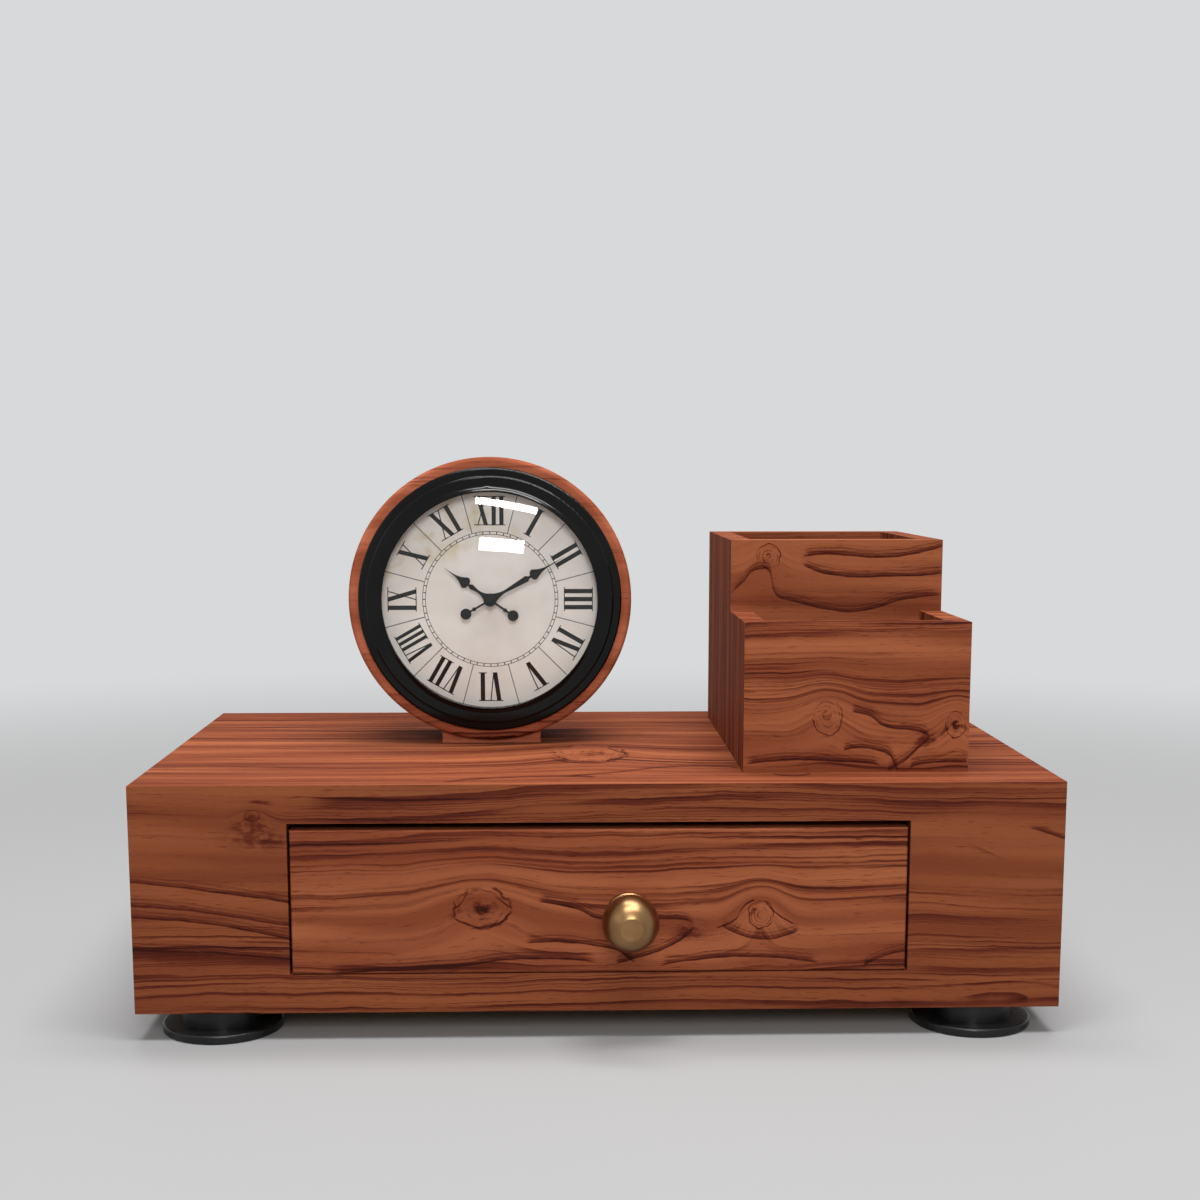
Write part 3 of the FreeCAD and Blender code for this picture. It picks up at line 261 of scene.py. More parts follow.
# %% Curling lines
FLAME_PATCH = (62, 21)
SWELL_PATCH = (30, 12)
FLAME_LINES = 6
FLAME_START = 0.6


def flame(run, rings, seed):
    """Dark curling lines, soft on one side."""
    slow = noise(run, rings, FLAME_PATCH, seed, 0.5)
    swell = noise(run, rings, SWELL_PATCH, seed + 1, 1.0)
    return ring_edge(slow * FLAME_LINES, FLAME_START) * swell.smooth(0.3, 0.6)


VEIN_CORE = 0.6
VEIN_FADE = 5.0
CRACK_FADE = 0.5
VEIN_STEP = 1.3
VEIN_JITTER = 0.3
VEIN_START = 0.3
VEIN_END = 0.07
CORE_SHADE, CORE_ROUGH = 0.1, 1.3
FRINGE_SHADE, FRINGE_RINGS = 0.35, 0.45


def vein(run, side, points, rough, fade):
    """A dark line through (run, side) points, crisp below and fading above, with tapered ends."""
    start, stop = points[0][0], points[-1][0]
    sides = [point[1] for point in points]
    low, rise = min(sides), max(sides) - min(sides)
    part = (run - start) / (stop - start)
    unit_points = [((at - start) / (stop - start), (height - low) / rise) for at, height in points]
    line = part.node("ShaderNodeFloatCurve", {"points": unit_points}, {"Value": part}) * rise + low
    over = side - line
    core = 1 - over.math("ABSOLUTE").smooth(0.0, VEIN_CORE)
    fringe = (1 - over.smooth(0.0, fade)) * over.smooth(-VEIN_CORE, 0.0)
    rings = ring_edge(over / VEIN_STEP + rough * VEIN_JITTER, VEIN_START)
    ends = part.smooth(0.0, VEIN_END) * (1 - part.smooth(1 - VEIN_END, 1.0))
    line_dark = core * (CORE_SHADE + rough * CORE_ROUGH)
    return (line_dark + fringe * (FRINGE_SHADE + rings * FRINGE_RINGS)) * ends


# %% [markdown]
# The wood adds all of this up as one darkness. Slow and fine noise bend the rings, three spacings of rings
# lie over each other, and fibres and pores roughen the whole. The darkness then picks the colour: the
# board's own tone where it is low, a dark brown where it is high and almost black at its peaks.

# %% Wood
SLOW_PATCH, SLOW_BEND = (190, 70), 12
FINE_PATCH, FINE_BEND = (14, 7), 1.6
ROUGH_PATCH = (3, 2)
CLUSTER_PATCH = (480, 15)
GLOW_PATCH = (150, 9)
FIBRE_PATCH = (16, 0.45)
PORE_PATCH = (5, 0.35)
RING_LAYERS = [(5.2, 0.3, 0.6), (1.9, 0.25, 0.75), (0.8, 0.2, 0.35)]
FLAME_CLEARS = 0.7
CLUSTER_SHADE = 0.1
FIBRE_SHADE = 0.45
PORE_SHADE = 0.35
DARK_FROM, DARK_TO = 0.0, 0.85
INK_FROM, INK_TO = 0.7, 1.5
WOOD_GLOSS = 0.015


def wood(name, run_way, side_way, marks, seed, tones):
    """Figured wood with a board's knots, flames, plain spots, stains, veins and cracks."""
    knots, flames, plain, stains, veins, cracks = marks
    finish, place = begin(name)
    run = place.along(run_way)
    side = place.along(side_way)
    slow = noise(run, side, SLOW_PATCH, seed)
    wobble = noise(run, side, FINE_PATCH, seed + 4)
    rough = noise(run, side, ROUGH_PATCH, seed + 7)
    waved = side + (wobble - 0.5) * FINE_BEND
    rings = waved + (slow - 0.5) * SLOW_BEND
    eyes = 0
    clear = 1
    for *spot, lift in knots:
        far = nearness(run, side, *spot)
        rings = rings - (far * -ARCH).math("EXPONENT") * lift
        eye, inside = knot_eye(far, wobble, rough)
        eyes = eye + eyes
        clear = (1 - inside) * clear
    curls = 0
    for points in veins:
        curls = vein(run, waved, points, rough, VEIN_FADE) + curls
    for points in cracks:
        curls = vein(run, waved, points, rough, CRACK_FADE) + curls
    for spot in flames:
        near = hill(run, side, spot).smooth(0.2, 0.6)
        curls = near * flame(run, rings, seed + 8) + curls
        clear = (1 - near * FLAME_CLEARS) * clear
    cluster = noise(run, rings, CLUSTER_PATCH, seed + 6, 1.0).smooth(0.26, 0.5)
    for spot in plain:
        cluster = cluster * (1 - hill(run, rings, spot).smooth(0.2, 0.5))
    for spot in stains:
        curls = hill(run, rings, spot) * rough.smooth(0.2, 0.7) + curls
    streaks = cluster * CLUSTER_SHADE
    for layer, (spacing, everywhere, clustered) in enumerate(RING_LAYERS, start=1):
        layer_rings = growth_rings(run, rings, spacing, seed + 10 * layer)
        streaks = layer_rings * (everywhere + cluster * clustered) + streaks
    fibre = noise(run, rings, FIBRE_PATCH, seed + 3, 2.0, 0.6)
    pores = noise(run, rings, PORE_PATCH, seed + 5, 1.0).smooth(0.62, 0.72)
    glow = noise(run, rings, GLOW_PATCH, seed + 2).smooth(0.3, 0.7)
    dark = streaks * clear + eyes + curls + (fibre - 0.5) * FIBRE_SHADE + pores * PORE_SHADE
    colour = dark.smooth(DARK_FROM, DARK_TO).between(glow.between(*tones), WOOD_DARK)
    colour = dark.smooth(INK_FROM, INK_TO).between(colour, WOOD_INK)
    roughness = 0.58 + (1 - fibre) * 0.12 + pores * 0.1
    height = fibre * 0.5 + (1 - pores) * 0.5
    sockets = {"Base Color": colour, "Roughness": roughness, "Specular IOR Level": WOOD_GLOSS}
    end(place, {**sockets, "Normal": bump(height, 0.25, 0.06)})
    return finish


# %% [markdown]
# Each board gets its own piece of timber. The grain runs along the boards and upright on the pen holder's
# sides. A board's marks lie where the real one has them. They are given by their place on the face that
# shows, and `on_front` and `on_top` turn that into the distance across the grain, which on a front face is
# the height plus a part of the depth. A spot is (run, side, half length, half height), a knot has its lift
# after that, and a vein or crack is a list of (run, side) points. Plain spots and stains bend with the
# rings, so near a knot they are written lower by the knot's lift.

# %% Boards
ALONG_X = (1, 0, 0)
ALONG_Y = (0, 1, 0)
UPRIGHT = (0, 0, 1)
LEAN = 0.4
FRONT_FACE = (0, LEAN, 1)
TOP_FACE = (0, 1, LEAN)
SIDE_FACE = (LEAN, 0, 1)
PEN_SIDE_FACE = (LEAN, 1, 0)


def on_front(node, *spots):
    """Spots or points given by place and height on a board's front face, moved to its own grain."""
    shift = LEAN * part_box(node)[0][1] / MM
    return [(run, height + shift, *size) for run, height, *size in spots]


def on_top(node, *spots):
    """Spots or points given by place and depth on a board's top face, moved to its own grain."""
    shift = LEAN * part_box(node)[1][2] / MM
    return [(run, depth + shift, *size) for run, depth, *size in spots]


KNOTS = {
    "case_front": on_front("case_front", (-118, 79.4, 3, 2, 4)),
    "case_top": on_top("case_top", (-2, -14, 14, 20, 14)),
    "drawer_front": on_front("drawer_front", (-40.5, 46.7, 9.5, 7.4, 9), (55.2, 43.6, 4.4, 5.4, 11)),
    "pen_front": on_front("pen_front", (80.6, 109, 5.1, 6.4, 7), (126, 106, 3.6, 5, 7)),
    "pen_divider": on_front("pen_divider", (65.2, 163.2, 4.3, 4.6, 5)),
}
FLAMES = {
    "case_front": on_front("case_front", (150, 68, 20, 6), (132, 16, 30, 5)),
}
PLAIN = {
    "case_front": on_front(
        "case_front", (-135, 70, 40, 9), (140, 66, 45, 16), (-135, 52, 40, 12), (-130, 86, 35, 6),
    ),
    "drawer_front": on_front("drawer_front", (-55, 41, 75, 9), (60, 38, 80, 11), (0, 69, 60, 2)),
    "pen_front": on_front("pen_front", (78, 102, 50, 8), (112, 100, 30, 8), (110, 126, 40, 3)),
    "pen_divider": on_front("pen_divider", (92, 152, 80, 30)),
    "clock_drum": on_front("clock_drum", (-40, 146, 80, 50)),
    "clock_cradle": on_front("clock_cradle", (-40, 91, 60, 20)),
}
STAINS = {
    "case_front": on_front("case_front", (-115.5, 84, 3.5, 1), (-119, 75.6, 6, 1.4), (-115, 71.5, 10, 3)),
    "drawer_front": on_front(
        "drawer_front",
        (31, 40, 5, 2.5), (-40, 39, 3.2, 2.4), (-50, 39, 1.4, 1.2), (52.9, 36.8, 1.2, 1.2),
    ),
    "pen_front": on_front("pen_front", (116, 101.5, 3, 2.5), (125, 100.5, 4, 1.5)),
}
FRONT_VEINS = {
    "case_front": [
        [(-168, 57.3), (-133.5, 53.5), (-106.5, 49), (-98, 47.4)],
        [(-168, 48.8), (-142, 47), (-124.5, 44.1), (-107, 41.4), (-98, 40)],
        [(-168, 45.2), (-138.5, 42.5), (-107, 36.7), (-98, 35)],
        [(-168, 33.2), (-131.5, 31.6), (-107, 29.5), (-98, 28.6)],
    ],
    "drawer_front": [
        [(-26, 34.4), (-14.5, 34.8), (-3, 33.4), (6, 31.6), (9, 29.4), (12.5, 26.8)],
        [(5, 26.6), (10, 28.2), (21, 31.6), (29, 36), (33, 40)],
        [(-22, 48.8), (-9, 46.5), (1, 43), (21, 42.6), (29, 42), (33, 39)],
        [(41.5, 41), (47, 37.4), (55, 35.4), (64, 36.4), (69, 39.4)],
        [(-94, 24.5), (-54, 26), (-20, 28.7), (-6, 28), (0, 25)],
        [(20, 24.8), (31, 28), (45, 28.7), (65, 28.2), (76, 25)],
        [(91, 24.8), (98, 28.7), (107, 31)],
    ],
    "pen_front": [
        [(86, 97.4), (91.7, 98.5), (97, 97.7), (102.4, 96.2), (104.6, 92.4), (106.4, 89.6)],
        [(102, 90.4), (104.6, 91.8), (109, 94.3), (113, 98.1), (117, 102)],
        [(88.5, 111.4), (95, 110), (101, 106.1), (109.6, 104.9), (114.3, 104), (117, 100.6)],
        [(51.4, 92.8), (69.6, 94.3), (86.6, 93.6), (96.8, 93), (100, 90)],
        [(109.6, 90.6), (117.3, 93), (131, 93.2)],
    ],
    "pen_divider": [
        [(49, 147), (56, 153.8), (63, 158.6), (65, 158), (67, 151), (70, 147.6), (78, 145.8),
         (87, 143.5), (98, 142.4), (105, 143.5), (115, 146.8), (132, 148.8)],
        [(77, 161.8), (81, 158.7), (90, 156.4), (103, 155.4), (117, 156), (133, 157)],
        [(77, 161), (80, 163.6), (86, 164.2), (98, 163.4), (108, 163), (119, 164.2), (133, 168)],
    ],
}
TOP_VEINS = {
    "case_top": [
        [(-12, -64), (8, -55), (24, -46), (37, -44), (54, -53)],
        [(-54, -75), (-39, -67), (-14, -63), (0, -66)],
        [(61, -56), (67, -65), (75, -59)],
        [(-17, -21), (-13.4, -30.7), (-3.5, -36.4), (5, -33), (9, -24.2), (12, -14)],
        [(5, -1), (8.6, -10.5), (12, -15.5)],
    ],
}
FRONT_CRACKS = {
    "drawer_front": [
        [(-50.4, 43.2), (-46.3, 41.1), (-41.2, 39.9), (-35.5, 41.1), (-32.1, 43.6), (-30, 46.8)],
        [(-34.8, 50.4), (-32.4, 47.9), (-30, 46.5)],
        [(-50, 46.6), (-47.5, 48.5), (-45.6, 51.8)],
        [(39.8, 39.4), (46.9, 42.6), (48.1, 45.1), (52.1, 48.7), (53.5, 49)],
        [(56.6, 49.2), (57.2, 48), (60, 44.8), (63.4, 42.3), (66.8, 40.4)],
    ],
}


def lines_on(face, lines_of):
    """The lines of some boards, given on a face of each board, moved to the board's own grain."""
    return {board: [face(board, *line) for line in lines] for board, lines in lines_of.items()}


VEINS = {**lines_on(on_front, FRONT_VEINS), **lines_on(on_top, TOP_VEINS)}
CRACKS = lines_on(on_front, FRONT_CRACKS)
GRAIN = {
    "case_front": (ALONG_X, FRONT_FACE),
    "case_top": (ALONG_X, TOP_FACE),
    "case_left_side": (ALONG_Y, SIDE_FACE),
    "case_right_side": (ALONG_Y, SIDE_FACE),
    "drawer_front": (ALONG_X, FRONT_FACE),
    "pen_front": (ALONG_X, FRONT_FACE),
    "pen_divider": (ALONG_X, FRONT_FACE),
    "pen_back": (ALONG_X, FRONT_FACE),
    "pen_left_side": (UPRIGHT, PEN_SIDE_FACE),
    "pen_right_side": (UPRIGHT, PEN_SIDE_FACE),
    "pen_floor": (ALONG_X, TOP_FACE),
    "clock_drum": (ALONG_X, FRONT_FACE),
    "clock_cradle": (ALONG_X, FRONT_FACE),
}
# The case front's darker tone is its own board colour. The clock's drum and cradle are a lighter, pinker
# timber, and their tone is raised further as painted light: an even lightening that stands in for the light
# from above falling on the drum's top.
BOARD_TONES_AND_PAINTED_LIGHT = {
    "case_front": (tint(121, 63, 40), tint(143, 81, 51)),
    "clock_drum": (tint(156, 83, 57), tint(194, 113, 83)),
    "clock_cradle": (tint(156, 83, 57), tint(194, 113, 83)),
}
SEED_STEP = 37.3
for number, (board, ways) in enumerate(GRAIN.items(), start=1):
    marks = [marks_of.get(board, ()) for marks_of in (KNOTS, FLAMES, PLAIN, STAINS, VEINS, CRACKS)]
    tones = BOARD_TONES_AND_PAINTED_LIGHT.get(board, (WOOD_MID, WOOD_PALE))
    dress(wood("wood_" + board, *ways, marks, number * SEED_STEP, tones), board)

# %% [markdown]
# ## Plain inner wood
# The drawer's box, its runners and the closed panels are of a pale, plain timber, as such furniture has
# where it does not show. A soft stripe across the grain and fine fibres are enough.

# %% Pale wood
STRIPE_PATCH = (240, 7)
PALE_FIBRE_PATCH = (18, 0.5)


def pale_wood(name, run_way, side_way, light, shade, seed):
    """Plain sanded wood between two tones."""
    finish, place = begin(name)
    run = place.along(run_way)
    side = place.along(side_way)
    stripe = noise(run, side, STRIPE_PATCH, seed, 3.0, 0.6)
    fibre = noise(run, side, PALE_FIBRE_PATCH, seed + 2)
    colour = (stripe * 0.7 + fibre * 0.3).smooth(0.3, 0.7).between(shade, light)
    end(place, {"Base Color": colour, "Roughness": 0.55 + fibre * 0.15, "Normal": bump(fibre, 0.2, 0.05)})
    return finish


PALE = tint(206, 170, 122)
PALE_SHADE = tint(172, 130, 84)
dress(pale_wood("wood_drawer_box", ALONG_Y, (1, 0, 1), PALE, PALE_SHADE, 2.0),
      "drawer_left_side", "drawer_right_side", "drawer_stop_left", "drawer_stop_right",
      "drawer_runner_left", "drawer_runner_right", "drawer_kicker_left", "drawer_kicker_right")
dress(pale_wood("wood_drawer_back", ALONG_X, (0, 1, 1), PALE, PALE_SHADE, 6.0), "drawer_back")
dress(pale_wood("wood_panels", ALONG_X, (0, 1, 1), tint(190, 150, 104), tint(150, 108, 70), 8.0),
      "case_back", "case_bottom", "drawer_bottom")

# %% [markdown]
# ## Brass, steel and black
# The knob is turned brass with a satin face, the screws are plain steel, and the feet, bezel and hands
# are black. Each metal is one Principled shader whose roughness changes with a soft noise, because even a
# new turned part is never evenly smooth. The small plastic parts of the movement have the black parts'
# shader in their own colours.

# %% Metals and black parts
METAL_FINE = 12
LIGHTER_TIMES, LIGHTER_PLUS = 1.7, 0.002
CLOUD_GRAINS = 40


def metal(name, colour, shade, rough, patch):
    """A turned or plated metal with soft cloudy variation."""
    finish, place = begin(name)
    cloud = grain_noise(place, patch, 3.0)
    fine = grain_noise(place, patch / METAL_FINE)
    base = cloud.smooth(0.3, 0.7).between(shade, colour)
    sockets = {"Base Color": base, "Metallic": 1.0, "Roughness": rough + (cloud - 0.5) * 0.12}
    end(place, {**sockets, "Normal": bump(fine, 0.05, 0.02)})
    return finish


def lacquer(name, colour, rough, grain, depth, gloss=0.15):
    """Lacquer, moulded plastic or ink with a fine surface grain and faint lighter clouds."""
    finish, place = begin(name)
    fine = grain_noise(place, grain, 3.0)
    cloud = grain_noise(place, grain * CLOUD_GRAINS)
    lighter = tuple(min(part * LIGHTER_TIMES + LIGHTER_PLUS, 1) for part in colour[:3]) + (1,)
    base = cloud.smooth(0.35, 0.75).between(colour, lighter)
    sockets = {"Base Color": base, "Roughness": rough + (fine - 0.5) * 0.15, "Specular IOR Level": gloss}
    end(place, {**sockets, "Normal": bump(fine, 0.15, depth)})
    return finish


dress(metal("brass_knob", tint(150, 116, 80), tint(136, 102, 67), 0.31, 6), "drawer_knob")
dress(metal("brass_arbor", tint(210, 172, 100), tint(180, 140, 74), 0.25, 3), "minute_arbor")
dress(metal("steel_screws", tint(190, 190, 188), tint(150, 150, 150), 0.35, 3),
      "foot_screws", "case_bottom_screws", "case_back_screws", "pen_holder_screws", "clock_screws",
      "knob_screw", "stop_screw_left", "stop_screw_right", "battery_contacts")
dress(lacquer("black_feet", tint(20, 20, 21), 0.3, 0.5, 0.01, 0.3),
      "foot_front_left", "foot_front_right", "foot_rear_left", "foot_rear_right")
dress(lacquer("black_bezel", tint(4, 4, 4), 0.1, 0.6, 0.002, 0.2), "clock_bezel")
dress(lacquer("black_rings", tint(30, 30, 30), 0.5, 0.5, 0.02), "glass_spacer", "dial_retaining_ring")
dress(lacquer("black_hands", tint(9, 9, 10), 0.6, 0.3, 0.01, 0.1), "hour_hand", "minute_hand", "hand_cap")
dress(lacquer("black_movement", tint(30, 30, 32), 0.5, 0.7, 0.03),
      "movement_case", "movement_plate", "set_knob", "hour_wheel")
dress(lacquer("green_module", tint(26, 78, 48), 0.45, 0.6, 0.02), "drive_module")
dress(lacquer("white_wheels", tint(214, 210, 198), 0.45, 0.6, 0.02), "minute_wheel")
dress(lacquer("battery_sleeve", tint(44, 46, 52), 0.3, 0.8, 0.01), "battery")

# %% [markdown]
# ## The dial and its print
# The dial is a matte off-white disc that has aged: faint yellow stains lie near ten and eleven. The stains
# are noise held back to one side by a smooth step across the disc.

# %% Aged dial
CLOCK_LOW, CLOCK_HIGH = (Vector(corner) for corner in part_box("clock_drum"))
CLOCK_MIDDLE = (CLOCK_LOW + CLOCK_HIGH) / 2
DIAL_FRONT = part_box("clock_dial")[0][1]
STAIN_SLANT = -0.5
STAIN_FROM, STAIN_TO = 12, 34
STAIN_SHARE = 0.75


def dial_finish():
    """Off-white enamel with a few old stains."""
    finish, place = begin("dial_enamel")
    x = place.along(ALONG_X) - CLOCK_MIDDLE.x / MM
    z = place.along(UPRIGHT) - CLOCK_MIDDLE.z / MM
    cloud = grain_noise(place, 9, 3.0)
    speck = grain_noise(place, 0.6)
    base = cloud.smooth(0.3, 0.7).between(tint(248, 235, 228), tint(254, 244, 238))
    stained = (x * STAIN_SLANT + z).smooth(STAIN_FROM, STAIN_TO)
    stain = grain_noise(place, 8, 4.0).smooth(0.45, 0.75) * stained * STAIN_SHARE
    base = stain.between(base, tint(214, 186, 118))
    end(place, {"Base Color": base, "Roughness": 0.55 + speck * 0.15, "Normal": bump(speck, 0.05, 0.01)})
    return finish


dress(dial_finish(), "clock_dial")

# %% [markdown]
# The print has Roman numerals with thick and thin strokes and fine serifs, a ring of sixty small cells and
# a thin line between the hours. Each stroke is a thin slab: a unit cube that one matrix shears, stretches
# and turns into place. The two rings are a small upright square spun round the dial's axis.

# %% Slabs and rings of print
INK_DEPTH = 0.04 * MM
NUMERAL_FOOT = 28.4
NUMERAL_HEIGHT = 11.2
NUMERAL_WIDEST = 12.0
THICK = 1.7
THIN = 0.42
SERIF = 0.36
V_JOIN = 0.3
LETTER_WIDTH = {"I": 3.1, "V": 6.4, "X": 6.4}
HOUR_DEGREES = 30
NUMERALS = ["XII", "I", "II", "III", "IV", "V", "VI", "VII", "VIII", "IX", "X", "XI"]


def dial_place(clockwise):
    """The matrix of the dial's own frame, turned clockwise by an angle."""
    middle = Matrix.Translation((CLOCK_MIDDLE.x, DIAL_FRONT - INK_DEPTH / 2, CLOCK_MIDDLE.z))
    return middle @ Matrix.Rotation(clockwise, 4, "Y")


def slab(mesh, frame_place, foot, head, width):
    """A thin printed stroke from foot to head, both (across, out) in millimetres, of a width across."""
    lean = Vector(((head[0] - foot[0]) * MM, 0, (head[1] - foot[1]) * MM))
    middle = Vector(((head[0] + foot[0]) / 2 * MM, 0, (head[1] + foot[1]) / 2 * MM))
    shape = Matrix.Identity(4)
    shape.col[0] = (width * MM, 0, 0, 0)
    shape.col[1] = (0, INK_DEPTH, 0, 0)
    shape.col[2] = (*lean, 0)
    shape.col[3] = (*middle, 1)
    bmesh.ops.create_cube(mesh, size=1, matrix=frame_place @ shape)


def letter(mesh, frame_place, kind, left, narrow):
    """One Roman letter that starts at a place across the numeral."""
    width = LETTER_WIDTH[kind] * narrow
    thick = THICK * narrow
    right = left + width
    middle = (left + right) / 2
    foot = NUMERAL_FOOT
    head = NUMERAL_FOOT + NUMERAL_HEIGHT
    inset = LETTER_WIDTH["I"] * narrow / 2
    low_serifs = []
    high_serifs = []
    if kind == "I":
        slab(mesh, frame_place, (middle, foot), (middle, head), thick)
        low_serifs = high_serifs = [middle]
    if kind == "V":
        slab(mesh, frame_place, (middle, foot), (left + inset, head), thick)
        slab(mesh, frame_place, (middle + thick * V_JOIN, foot), (right - inset, head), THIN)
        high_serifs = [left + inset, right - inset]
    if kind == "X":
        slab(mesh, frame_place, (right - inset, foot), (left + inset, head), thick)
        slab(mesh, frame_place, (left + inset, foot), (right - inset, head), THIN)
        low_serifs = high_serifs = [left + inset, right - inset]
    reach = LETTER_WIDTH["I"] * narrow
    for centre in low_serifs:
        slab(mesh, frame_place, (centre, foot), (centre, foot + SERIF), reach)
    for centre in high_serifs:
        slab(mesh, frame_place, (centre, head - SERIF), (centre, head), reach)


def finish_piece(name, mesh, body, finish):
    """Turn a bmesh into an object at the origin that rides on a body."""
    bmesh.ops.recalc_face_normals(mesh, faces=mesh.faces)
    data = bpy.data.meshes.new(name)
    mesh.to_mesh(data)
    mesh.free()
    piece = bpy.data.objects.new(name, data)
    bpy.context.scene.collection.objects.link(piece)
    data.materials.append(finish)
    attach(piece, body)
    print(name, len(data.polygons), "faces")


ink = lacquer("dial_ink", tint(14, 14, 15), 0.55, 0.4, 0.005)
numeral_mesh = bmesh.new()
for hour, numeral in enumerate(NUMERALS):
    turn = dial_place(math.radians(HOUR_DEGREES * hour))
    natural = sum(LETTER_WIDTH[kind] for kind in numeral)
    narrow = min(1, NUMERAL_WIDEST / natural)
    left = -natural * narrow / 2
    for kind in numeral:
        letter(numeral_mesh, turn, kind, left, narrow)
        left += LETTER_WIDTH[kind] * narrow
finish_piece("dial_numerals", numeral_mesh, "base", ink)

# %% Minute track and hour lines
TRACK_INNER = 25.0
TRACK_OUTER = 26.1
TRACK_LINE = 0.2
MINUTE_LINE = 0.34
HOUR_LINE = 0.28
HOUR_LINE_END = 42
MINUTE_DEGREES = 6
TRACK_STEPS = 120

track_mesh = bmesh.new()
for minute in range(60):
    turn = dial_place(math.radians(MINUTE_DEGREES * minute))
    slab(track_mesh, turn, (0, TRACK_INNER), (0, TRACK_OUTER), MINUTE_LINE)
for hour in range(12):
    turn = dial_place(math.radians(HOUR_DEGREES * (hour + 0.5)))
    slab(track_mesh, turn, (0, TRACK_OUTER), (0, HOUR_LINE_END), HOUR_LINE)
for radius in (TRACK_INNER, TRACK_OUTER):
    section = bmesh.ops.create_grid(track_mesh, x_segments=1, y_segments=1, size=0.5)["verts"]
    profile = Matrix.Translation((radius * MM, 0, 0)) @ Matrix.Rotation(math.pi / 2, 4, "X")
    profile = profile @ Matrix.Diagonal((TRACK_LINE * MM, INK_DEPTH, 1, 1))
    bmesh.ops.transform(track_mesh, matrix=dial_place(0) @ profile, verts=section)
    faces = list({face for vert in section for face in vert.link_faces})
    edges = list({edge for vert in section for edge in vert.link_edges})
    bmesh.ops.delete(track_mesh, geom=faces, context="FACES_ONLY")
    bmesh.ops.spin(
        track_mesh, geom=edges + section, cent=dial_place(0).translation, axis=(0, 1, 0),
        angle=2 * math.pi, steps=TRACK_STEPS, use_merge=True,
    )
finish_piece("dial_track", track_mesh, "base", ink)

# %% [markdown]
# ## Glass
# A clear dome covers the dial. A true glass shader would cut the light that falls on the dial, so the
# glass is a clear shader mixed with a sharp reflection, and Fresnel sets how much of each is seen: little
# when looked at straight on, more towards the rim. A sharp reflection shows every flat triangle, and most
# of all the point in the middle where they meet. The dome is a part of a ball, so the direction that each
# place faces is worked out from the ball instead.

# %% Clear dome
COATED_SHARE = 0.45
CLEAR_TINT = (0.97, 0.98, 0.975, 1)
GLASS_INDEX = 1.5
SMEAR_ROUGHNESS = 0.03
DOME_EDGE = 41.2
DOME_RISE = 6.0
DOME_RADIUS = (DOME_EDGE ** 2 + DOME_RISE ** 2) / (2 * DOME_RISE)
FORWARDS = (0, -1, 0)


def dome_normal(place):
    """The direction that the dome faces, outwards on its outer side and inwards on its inner side."""
    x = (place.along(ALONG_X) - CLOCK_MIDDLE.x / MM) / DOME_RADIUS
    z = (place.along(UPRIGHT) - CLOCK_MIDDLE.z / MM) / DOME_RADIUS
    depth = (1 - x ** 2 - z ** 2).math("SQRT")
    way = place.node("ShaderNodeNewGeometry", out="True Normal").along(FORWARDS).math("SIGN")
    return place.node("ShaderNodeCombineXYZ", None, {0: x * way, 1: depth * way * -1, 2: z * way})


def glass_finish():
    """Clear glass: see-through, with reflections that grow towards glancing angles."""
    finish, place = begin("clear_glass")
    smear = grain_noise(place, 14, 2.0)
    clear = place.node("ShaderNodeBsdfTransparent", None, {"Color": CLEAR_TINT})
    sockets = {"Base Color": (1, 1, 1, 1), "Metallic": 1.0, "Roughness": smear * SMEAR_ROUGHNESS}
    mirror = place.node("ShaderNodeBsdfPrincipled", None, {**sockets, "Normal": dome_normal(place)})
    rim = place.node("ShaderNodeFresnel", None, {"IOR": GLASS_INDEX})
    shader = place.node("ShaderNodeMixShader", None, {0: rim * COATED_SHARE, 1: clear, 2: mirror})
    place.node("ShaderNodeOutputMaterial", None, {"Surface": shader})
    return finish


dress(glass_finish(), "clock_glass")

# %% [markdown]
# ## Floor, light and camera
# The organizer stands on a plain pale floor. Far from the object the floor takes on the colour of the
# backdrop for the rays that are looked along, so no horizon shows from any side, and near the object it is
# an ordinary surface that holds the shadow. Two wide soft lamps above and one in front give the shape. A
# weak lamp on the left and an even pale world fill the shadows. Two long lamps in front show only in
# reflections: they are the bright bars on the dome and the bezel.

# %% Floor
BACKDROP = tint(216, 217, 218)
FLOOR_HALF = 6.0
FADE_START = 300
FADE_END = 1100


def looked_along(start):
    """1 for the rays that show the backdrop: seen directly, in a reflection or through glass."""
    seen = start.node("ShaderNodeLightPath", out="Is Camera Ray")
    for way in ("Is Glossy Ray", "Is Transmission Ray"):
        seen = seen.math("MAXIMUM", start.node("ShaderNodeLightPath", out=way))
    return seen


def floor_finish():
    """Plain pale floor that turns into the backdrop with the distance."""
    finish, place = begin("pale_floor")
    cloud = grain_noise(place, 300, 2.0)
    base = cloud.between(tint(168, 168, 169), tint(172, 172, 172))
    surface = place.node("ShaderNodeBsdfPrincipled", None, {"Base Color": base, "Roughness": 0.7})
    distance = (place.along(ALONG_X) ** 2 + place.along(ALONG_Y) ** 2).math("SQRT")
    far = distance.smooth(FADE_START, FADE_END) * looked_along(place)
    glow = place.node("ShaderNodeEmission", None, {"Color": BACKDROP, "Strength": 1.0})
    shader = place.node("ShaderNodeMixShader", None, {0: far, 1: surface, 2: glow})
    place.node("ShaderNodeOutputMaterial", None, {"Surface": shader})
    return finish


floor_mesh = bmesh.new()
bmesh.ops.create_grid(floor_mesh, x_segments=1, y_segments=1, size=FLOOR_HALF)
floor_data = bpy.data.meshes.new("floor")
floor_mesh.to_mesh(floor_data)
floor_mesh.free()
floor_data.materials.append(floor_finish())
floor = bpy.data.objects.new("floor", floor_data)
bpy.context.scene.collection.objects.link(floor)

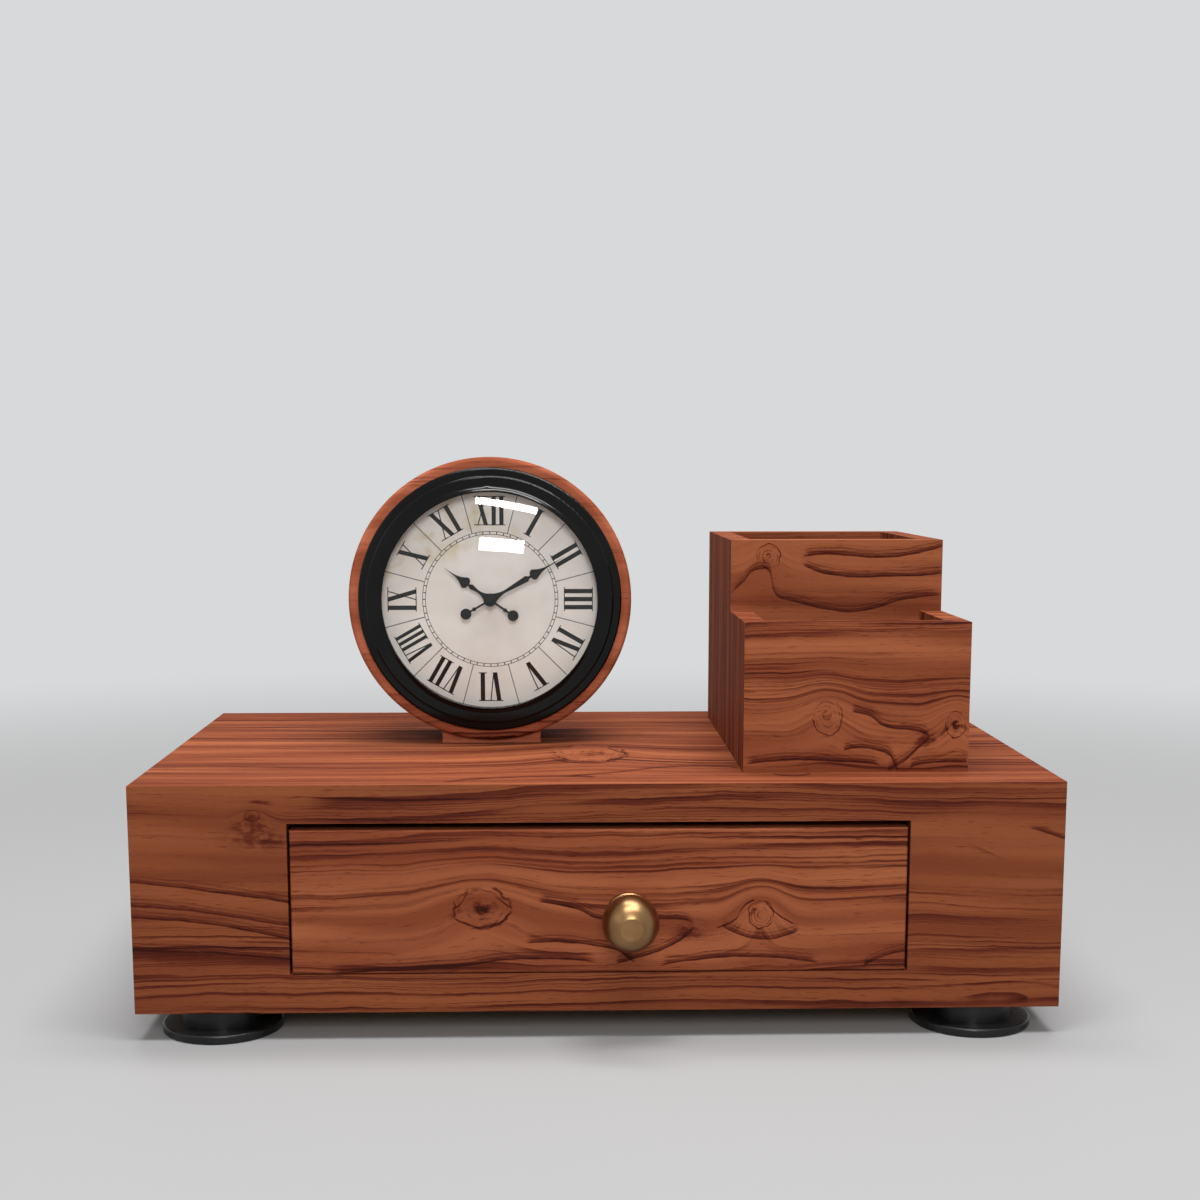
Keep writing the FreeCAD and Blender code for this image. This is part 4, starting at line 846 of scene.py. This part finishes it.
# %% Lamps and world
def lamp(name, place, target, size, power, slope=0, lights=True, mirrored=True):
    """A rectangular soft lamp that looks at a point, with its right end lowered by a slope in degrees.

    It may only light surfaces or only show in reflections.
    """
    data = bpy.data.lights.new(name, "AREA")
    data.shape = "RECTANGLE"
    data.size, data.size_y = size
    data.energy = power
    made = bpy.data.objects.new(name, data)
    made.location = place
    aim = (Vector(target) - Vector(place)).to_track_quat("-Z", "Y")
    made.rotation_euler = (aim @ Quaternion(UPRIGHT, math.radians(-slope))).to_euler()
    made.visible_diffuse = lights
    made.visible_glossy = mirrored
    bpy.context.scene.collection.objects.link(made)
    print(name, power, "W")


lamp("lamp_above_front", (0.06, -0.4, 1.45), (0, 0, 0.08), (1.2, 0.38), 17)
lamp("lamp_above_back", (0.06, 0.22, 1.45), (0, 0, 0.08), (1.0, 0.3), 10)
lamp("lamp_front", (0.04, -1.4, 0.73), (0, 0, 0.08), (0.5, 0.4), 7.8, mirrored=False)
lamp("lamp_bar_low", (0.02, -1.45, 0.54), (-0.04, 0, 0.12), (0.41, 0.12), 4.5, slope=5, lights=False)
lamp("lamp_bar_high", (0.065, -1.36, 0.908), (-0.04, 0, 0.12), (0.58, 0.064), 8, slope=11, lights=False)
lamp("lamp_left", (-1.3, -0.7, 0.8), (0, 0, 0.08), (0.8, 0.8), 1)

EVEN_LIGHT = 0.21
world = bpy.data.worlds.new("pale_world")
bpy.context.scene.world = world
world.use_nodes = True
world.node_tree.nodes.clear()
sky = Shade(world.node_tree)
even_light = sky.node("ShaderNodeBackground", None, {"Color": (1, 1, 1, 1), "Strength": EVEN_LIGHT})
backdrop = sky.node("ShaderNodeBackground", None, {"Color": BACKDROP, "Strength": 1.0})
both = sky.node("ShaderNodeMixShader", None, {0: looked_along(sky), 1: even_light, 2: backdrop})
sky.node("ShaderNodeOutputWorld", None, {"Surface": both})

# %% Camera
PITCH_DOWN = math.radians(8.267)
TURN_RIGHT = math.radians(1.621)
camera_data = bpy.data.cameras.new("camera")
camera_data.lens = 52.16
camera_data.sensor_width = 36
camera_data.shift_y = 0.1
camera = bpy.data.objects.new("camera", camera_data)
camera.location = (-0.0165, -0.6597, 0.1961)
camera.rotation_euler = (math.pi / 2 - PITCH_DOWN, 0, -TURN_RIGHT)
bpy.context.scene.collection.objects.link(camera)
bpy.context.scene.camera = camera
bpy.context.scene.view_settings.view_transform = "Standard"
